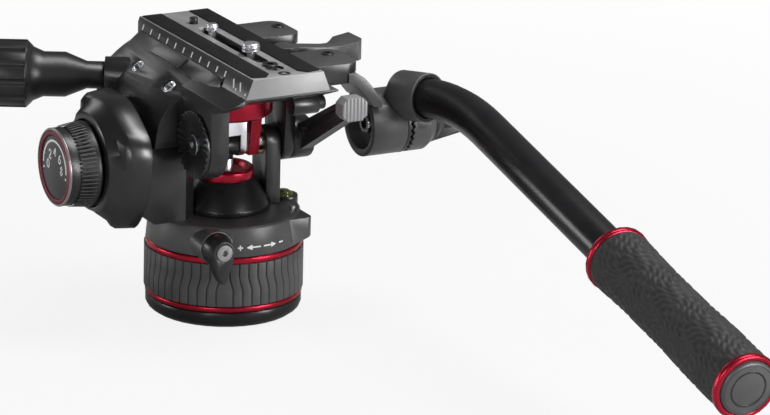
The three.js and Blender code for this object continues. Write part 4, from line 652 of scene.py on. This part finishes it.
# Pin on the lug: its dome is given as shares of the radius and of the dome's depth under the tip
lugPinLook = {
    "place": (32.7, -19.5), "radius": 1.5, "height": 1.6, "dome": 0.5,
    "domeSteps": ((1, 1), (0.8, 1 / 3), (0.4, 0)), "sides": 24,
}


def makeLugPin(look):
    spot, facing = topAt("pan_housing", *look["place"])
    radius, height, dome = look["radius"], look["height"], look["dome"]
    profile = [(radius, -dome)]
    for share, under in look["domeSteps"]:
        profile.append((radius * share, height - dome * under))
    turnedPiece("lugPin", spot, facing, profile, "brightChrome", "pan", "chrome", sides=look["sides"])


makeLugPin(lugPinLook)

# Threads above the plate, and in the foot's bore for the tripod
screwLook = {
    "axis": upward, "stepsPerTurn": 28, "fadeTurns": 0.5, "footShare": 0.42, "depth": 0.26,
    "finish": "brightChrome", "slot": "chrome",
}
threadLooks = {
    "smallScrewThread": {
        **screwLook, "body": "screw_small", "spot": (0, 18, 154.2), "radius": 3.17, "root": 3.1,
        "pitch": 1.27, "length": 3.4},
    "largeScrewThread": {
        **screwLook, "body": "screw_large", "spot": (0, -29.5, 154.4), "radius": 4.76, "root": 4.7,
        "pitch": 1.5875, "length": 4.4},
    "footThread": {
        **screwLook, "body": "base", "spot": (0, 0, 0.9), "radius": 4.76, "root": 4.82, "depth": -0.55,
        "pitch": 1.5875, "length": 7.6, "finish": "turnedSteel", "slot": "steel"},
}


# A helical ridge with a pointed section, as on a machine screw
def threadRidge(name, look):
    first, second, along = crossedAxes(look["axis"])
    perTurn = look["stepsPerTurn"]
    steps = int(look["length"] / look["pitch"] * perTurn)
    fadeSteps = perTurn * look["fadeTurns"]
    half = look["pitch"] * look["footShare"]
    points, faces = [], []
    for step in range(steps + 1):
        turn = 2 * math.pi * step / perTurn
        height = look["pitch"] * step / perTurn
        fade = min(1, step / fadeSteps, (steps - step) / fadeSteps)
        outward = first * math.cos(turn) + second * math.sin(turn)
        crest = look["radius"] + look["depth"] * fade
        for radius, rise in ((look["root"], -half), (crest, 0), (look["root"], half)):
            points.append(Vector(look["spot"]) + along * (height + rise) + outward * radius)
    for step in range(steps):
        low, high = step * 3, step * 3 + 3
        for side in range(3):
            after = (side + 1) % 3
            faces.append((low + side, high + side, high + after, low + after))
    faces.append((0, 1, 2))
    faces.append((steps * 3 + 2, steps * 3 + 1, steps * 3))
    addPiece(name, points, faces, look["finish"], look["body"], look["slot"])


for name, look in threadLooks.items():
    threadRidge(name, look)

# Threaded inserts of the two accessory sockets in the hood
insertLook = {
    "places": ((-39.7, 30.5, 135.3), (-38.2, -6, 133.2)), "tilt": -41, "outer": 4.1, "rim": 3.4,
    "inner": 2.9, "depth": 5.6, "top": -0.35, "chamfer": 0.35, "pitch": 0.7, "grooves": 6,
}


def makeInsert(name, spot, look):
    lean = math.radians(look["tilt"])
    outer, rim, inner, top = look["outer"], look["rim"], look["inner"], look["top"]
    shoulder = top - look["chamfer"]
    profile = [(outer, -look["depth"]), (outer, shoulder), (outer - look["chamfer"], top), (rim, top)]
    for groove in range(look["grooves"]):
        profile.append((inner, shoulder - groove * look["pitch"]))
        profile.append((rim, shoulder - (groove + 0.5) * look["pitch"]))
    profile.append((inner, -look["depth"]))
    axis = (math.sin(lean), 0, math.cos(lean))
    turnedPiece(name, spot, axis, profile, "turnedSteel", "tilt", "steel", closed=True)


for number, spot in enumerate(insertLook["places"]):
    makeInsert("socketInsert" + str(number + 1), spot, insertLook)

# Nut and washer in the drum's recess, on the clamp bolt
nutLook = {
    "place": (72, -37, 108), "axis": (-1, 0, 0), "bore": 3.4, "washer": 7.4, "washerHeight": 1.2,
    "nut": 5.4, "nutHeight": 5.2, "chamfer": 0.6,
}


def makeDrumNut(look):
    bore, washer, nut = look["bore"], look["washer"], hexReach(look["nut"])
    low, high, chamfer = look["washerHeight"], look["nutHeight"], look["chamfer"]
    profile = [(bore, 0), (washer, 0), (washer, low), (nut, low), (nut, high - chamfer),
               (look["nut"] - chamfer / 2, high), (bore, high)]
    turnedPiece("drumNut", look["place"], look["axis"], profile, "turnedSteel", "tilt", "steel",
                closed=True)


makeDrumNut(nutLook)

# Vial: reading ring and bubble, on the dome
vialLook = {
    "place": (38.6, 3.6), "ring": 2.9, "ringWidth": 0.45, "ringHeight": 0.1, "ringSunk": 0.2,
    "bubble": 1.9, "bubbleRise": 0.45, "bubbleSunk": 0.05, "offset": (-0.5, -0.4), "domeSteps": 6,
    "sides": 32,
}


def makeVialMarks(look):
    x, y = look["place"]
    ringTop = topAt("level_vial", x + look["ring"], y)[0].z
    inner, outer = look["ring"] - look["ringWidth"] / 2, look["ring"] + look["ringWidth"] / 2
    low, high = -look["ringSunk"], look["ringHeight"]
    profile = [(inner, low), (inner, high), (outer, high), (outer, low)]
    turnedPiece("vialRing", (x, y, ringTop), upward, profile, "blackSteel", "pan", "black_steel",
                closed=True)
    dome = []
    for step in range(look["domeSteps"]):
        turn = math.pi / 2 * step / look["domeSteps"]
        height = look["bubbleRise"] * math.sin(turn) - look["bubbleSunk"]
        dome.append((look["bubble"] * math.cos(turn), height))
    bubble = topAt("level_vial", x, y)[0] + Vector((*look["offset"], 0))
    turnedPiece("vialBubble", bubble, upward, dome, "vialGreen", "pan", "vial", sides=look["sides"])


makeVialMarks(vialLook)

# Turned rim round the knob's face, light grey as a painted highlight of its lit chamfer
rimLook = {
    "spot": (-104, 0, 93), "axis": (-1, 0, 0), "inner": 20.5, "outer": 21.7, "height": 0.12,
    "chamfer": 0.9, "sides": 96,
}


def makeKnobRim(look):
    inner, outer, height, chamfer = look["inner"], look["outer"], look["height"], look["chamfer"]
    profile = [(inner, -chamfer), (inner, height), (outer - chamfer / 2, height), (outer, -chamfer / 2),
               (outer, -chamfer)]
    turnedPiece("knobRimHighlight", look["spot"], look["axis"], profile, "rimHighlightGrey", "tilt_knob", "grey_coat",
                closed=True, sides=look["sides"])


makeKnobRim(rimLook)

# Bolt and dark plug in the plate's top, which a ray finds beside the socket under each
topBoltLooks = {
    "plateBolt": {
        "place": (0, -52.6), "head": 4.4, "height": 1.1, "chamfer": 0.4, "sunk": 0.4, "key": 2.0,
        "keyDepth": 1.0, "finish": "blackSteel", "slot": "black_steel"},
    "platePlug": {
        "place": (0, -69.5), "head": 3.5, "height": 0.12, "chamfer": 0.08, "sunk": 0.4, "key": 1.5,
        "keyDepth": 0.5, "finish": "blackSteel", "slot": "black_steel"},
}
besideShare = 1.2
for name, look in topBoltLooks.items():
    x, y = look["place"]
    height = topAt("camera_plate", x + look["key"] * besideShare, y)[0].z
    socketBolt(name, (x, y, height), upward, look, "plate")

# Low flutes round the tilt drag knob's wide end, on its tapered wall
fluteLook = {
    "count": 60, "from": -97.5, "to": -86, "faceX": -104, "faceRadius": 21.6, "baseX": -85.6,
    "baseRadius": 23.9, "height": 0.05, "width": 1.5, "topShare": 0.4, "sunk": 0.15, "taper": 1.6,
    "endRise": 0.4,
}


def makeKnobFlutes(look):
    slope = (look["baseRadius"] - look["faceRadius"]) / (look["baseX"] - look["faceX"])
    front, back, taper, sunk = look["from"], look["to"], look["taper"], look["sunk"]
    stations = ((front, 0), (front + taper, 1), (back - taper / 2, 1), (back, look["endRise"]))
    points, faces = [], []
    for flute in range(look["count"]):
        turn = 2 * math.pi * flute / look["count"]
        start = len(points)
        for x, rise in stations:
            radius = look["faceRadius"] + (x - look["faceX"]) * slope
            half = look["width"] / 2 / radius
            top, crest = half * look["topShare"], look["height"] * rise
            for angle, height in ((-half, -sunk), (-top, crest), (top, crest), (half, -sunk)):
                reach = radius + height
                across, up = reach * math.cos(turn + angle), reach * math.sin(turn + angle)
                points.append((x, across, dialLook["axisHeight"] + up))
        for run in range(len(stations) - 1):
            low, high = start + run * 4, start + run * 4 + 4
            for side in range(4):
                after = (side + 1) % 4
                faces.append((low + side, high + side, high + after, low + after))
        end = len(points) - 4
        faces.append((start, start + 1, start + 2, start + 3))
        faces.append((end + 3, end + 2, end + 1, end))
    addPiece("knobFlutes", points, faces, "moulding", "tilt_knob", "dark_moulding")


makeKnobFlutes(fluteLook)

# Grip: rubber skin with short wavy welts in staggered rows, in place of the plain sleeve
barCorner, barEnd = Vector((101, -84.4, 128.6)), Vector((87.1, -406.4, 68.8))
gripAlong = (barEnd - barCorner).normalized()
gripLook = {
    "from": -137.3, "to": -4.7, "inner": 11.6, "endRadius": 17.25, "waist": 16.3, "rows": 34,
    "stepsPerRow": 6, "length": 0.9, "welt": 9.2, "waveTurn": 0.2, "waveLength": 37, "height": 0.5,
    "plainEnd": 2.4, "ridgeGain": 1.3, "runGain": 1.6, "sharpAngle": 60,
    "stations": ((0, 1), (0.25, 0), (0.5, 0), (0.8, 1), (1, 1)),
}


# The stations give shares of the way from the waist's radius to the ends', with a soft run between them
def gripRadius(share, look):
    for (low, first), (high, second) in zip(look["stations"], look["stations"][1:]):
        if share <= high:
            blend = (share - low) / (high - low)
            blend = blend * blend * (3 - 2 * blend)
            return look["waist"] + (look["endRadius"] - look["waist"]) * (first + (second - first) * blend)
    return look["endRadius"]


# Height of the welts at a turn and a place along the grip, faded out towards both plain ends
def weltHeight(turn, place, look):
    fade = min(1, (place - look["from"]) / look["plainEnd"], (look["to"] - place) / look["plainEnd"])
    row = turn + look["waveTurn"] * math.sin(2 * math.pi * place / look["waveLength"])
    ridge = math.cos(row * look["rows"] / 2)
    sign = 1 if ridge > 0 else -1
    run = 0.5 + 0.5 * sign * math.sin(2 * math.pi * place / look["welt"])
    return look["height"] * min(1, abs(ridge) * look["ridgeGain"]) * min(1, run * look["runGain"]) * fade


def makeGripSkin(look):
    sides = look["rows"] * look["stepsPerRow"]
    steps = int((look["to"] - look["from"]) / look["length"])
    first, second, along = crossedAxes(gripAlong)
    points = []
    # One ring more at each end closes the skin over the sleeve's inside
    for step in range(steps + 3):
        inside = step in (0, steps + 2)
        share = min(max(step - 1, 0), steps) / steps
        place = look["from"] + (look["to"] - look["from"]) * share
        for side in range(sides):
            turn = 2 * math.pi * side / sides
            reach = look["inner"] if inside else gripRadius(share, look) + weltHeight(turn, place, look)
            outward = first * math.cos(turn) + second * math.sin(turn)
            points.append(barEnd + along * place + outward * reach)
    faces = ringFaces(steps + 3, sides, True)
    skin = addPiece("gripSkin", points, faces, "softRubber", "bar", "soft_rubber", look["sharpAngle"])
    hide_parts("pan_bar_grip")


makeGripSkin(gripLook)

# End cap: two low dark rings on its face, each by radius, width and height
capLook = {"proud": 1.2, "rings": ((9.6, 1.5, 0.2), (13.4, 0.6, 0.1)), "sunk": 0.2, "sides": 64}


def makeCapRings(look):
    spot, sunk = barEnd + gripAlong * look["proud"], look["sunk"]
    for number, (radius, width, height) in enumerate(look["rings"]):
        profile = [(radius - width / 2, -sunk), (radius - width / 4, height), (radius + width / 4, height),
                   (radius + width / 2, -sunk)]
        turnedPiece("capRing" + str(number + 1), spot, gripAlong, profile, "blackSteel", "bar",
                    "black_steel", closed=True, sides=look["sides"])


makeCapRings(capLook)
print("small fittings made")

# Camera at the photograph's angle, floor and soft light
cameraLook = {
    "place": (-1.1908, -2.3717, 0.8918), "azimuth": -28.59, "elevation": 17.43, "roll": 1.41,
    "lens": 233.77, "sensor": 36, "clipEnd": 30,
}


def addCamera(look):
    turn, tip, roll = (math.radians(look[key]) for key in ("azimuth", "elevation", "roll"))
    back = Vector((math.sin(turn) * math.cos(tip), -math.cos(turn) * math.cos(tip), math.sin(tip)))
    right = Vector((math.cos(turn), math.sin(turn), 0))
    up = back.cross(right)
    rolledRight = right * math.cos(roll) + up * math.sin(roll)
    rolledUp = up * math.cos(roll) - right * math.sin(roll)
    data = bpy.data.cameras.new("camera")
    data.lens = look["lens"]
    data.sensor_width = look["sensor"]
    data.sensor_fit = "HORIZONTAL"
    data.clip_end = look["clipEnd"]
    camera = bpy.data.objects.new("camera", data)
    scene.collection.objects.link(camera)
    basis = Matrix((rolledRight, rolledUp, back)).transposed()
    camera.matrix_world = Matrix.Translation(Vector(look["place"])) @ basis.to_4x4()
    scene.camera = camera


addCamera(cameraLook)


# Share of plain white: whole for the camera and through clear pieces, part of it in glossy reflections
def whiteShare(tree, glossShare):
    rays = addNode(tree, "ShaderNodeLightPath").outputs
    gloss = joined(tree, "MULTIPLY", rays["Is Glossy Ray"], glossShare)
    seen = joined(tree, "MAXIMUM", rays["Is Camera Ray"], gloss)
    return joined(tree, "MAXIMUM", seen, rays["Is Transmission Ray"])


# The white share grows from nearShare round the object to 1, over distances from the origin
floorLook = {
    "size": 14, "colour": (0.42, 0.42, 0.425), "shade": 0.985, "paperPerMetre": 900, "rough": 0.9,
    "nearShare": 0.87, "near": 0.3, "far": 0.8, "glossShare": 0.1,
}


def floorPaper(look):
    material, tree, shader = startMaterial("floorPaper")
    vector = placeCoords(tree)
    paper = grain(tree, vector, look["paperPerMetre"])
    shade = tuple(value * look["shade"] for value in look["colour"])
    colour = mixColours(tree, spread(tree, paper, 0.0, 1.0), shade, look["colour"])
    tree.links.new(colour, shader.inputs["Base Color"])
    shader.inputs["Roughness"].default_value = look["rough"]
    glow = addNode(tree, "ShaderNodeEmission")
    glow.inputs["Color"].default_value = (1, 1, 1, 1)
    glow.inputs["Strength"].default_value = 1.0
    reach = addNode(tree, "ShaderNodeVectorMath", operation="LENGTH")
    tree.links.new(vector, reach.inputs[0])
    whiter = spread(tree, reach.outputs["Value"], look["nearShare"], 1.0, look["near"], look["far"])
    mix = addNode(tree, "ShaderNodeMixShader")
    share = joined(tree, "MULTIPLY", whiteShare(tree, look["glossShare"]), whiter)
    tree.links.new(share, mix.inputs["Fac"])
    tree.links.new(shader.outputs["BSDF"], mix.inputs[1])
    tree.links.new(glow.outputs["Emission"], mix.inputs[2])
    output = [node for node in tree.nodes if node.type == "OUTPUT_MATERIAL"][0]
    tree.links.new(mix.outputs["Shader"], output.inputs["Surface"])
    return material


def addFloor(look):
    mesh = bpy.data.meshes.new("floor")
    half = look["size"] / 2
    mesh.from_pydata([(-half, -half, 0), (half, -half, 0), (half, half, 0), (-half, half, 0)], [],
                     [(0, 1, 2, 3)])
    mesh.materials.append(floorPaper(look))
    floor = bpy.data.objects.new("floor", mesh)
    scene.collection.objects.link(floor)


addFloor(floorLook)

# Lamps: places and sizes in metres, power in watts, all turned to the head's middle
lampAim = Vector((0, -0.1, 0.09))
lampLook = [
    {"name": "topLamp", "from": (0.75, -0.25, 1.9), "size": 1.0, "power": 46},
    {"name": "rearLamp", "from": (0.9, -1.95, 0.42), "size": 0.75, "power": 46},
    {"name": "frontLamp", "from": (-1.75, 1.15, 0.33), "size": 0.6, "power": 11},
    {"name": "slopeLamp", "from": (-0.54, 1.87, 1.03), "size": 0.7, "power": 4},
    {"name": "leftLamp", "from": (-1.75, -1.45, 0.5), "size": 0.6, "power": 12},
]


def addLamp(look):
    data = bpy.data.lights.new(look["name"], "AREA")
    data.shape = "SQUARE"
    data.size = look["size"]
    data.energy = look["power"]
    lamp = bpy.data.objects.new(look["name"], data)
    lamp.visible_camera = False
    scene.collection.objects.link(lamp)
    spot = Vector(look["from"])
    turned = (lampAim - spot).to_track_quat("-Z", "Y")
    lamp.matrix_world = Matrix.Translation(spot) @ turned.to_matrix().to_4x4()


for look in lampLook:
    addLamp(look)

worldLook = {"strength": 0.1, "glossShare": 0.06}


def setWorld(look):
    world = bpy.data.worlds.new("studio")
    world.use_nodes = True
    tree = world.node_tree
    tree.nodes.clear()
    output = addNode(tree, "ShaderNodeOutputWorld")
    mix = addNode(tree, "ShaderNodeMixShader")
    for socket, strength in ((1, look["strength"]), (2, 1.0)):
        sky = addNode(tree, "ShaderNodeBackground")
        sky.inputs["Color"].default_value = (1, 1, 1, 1)
        sky.inputs["Strength"].default_value = strength
        tree.links.new(sky.outputs["Background"], mix.inputs[socket])
    tree.links.new(whiteShare(tree, look["glossShare"]), mix.inputs["Fac"])
    tree.links.new(mix.outputs["Shader"], output.inputs["Surface"])
    scene.world = world


setWorld(worldLook)
scene.view_settings.view_transform = "Standard"
print("camera, floor and lights set")
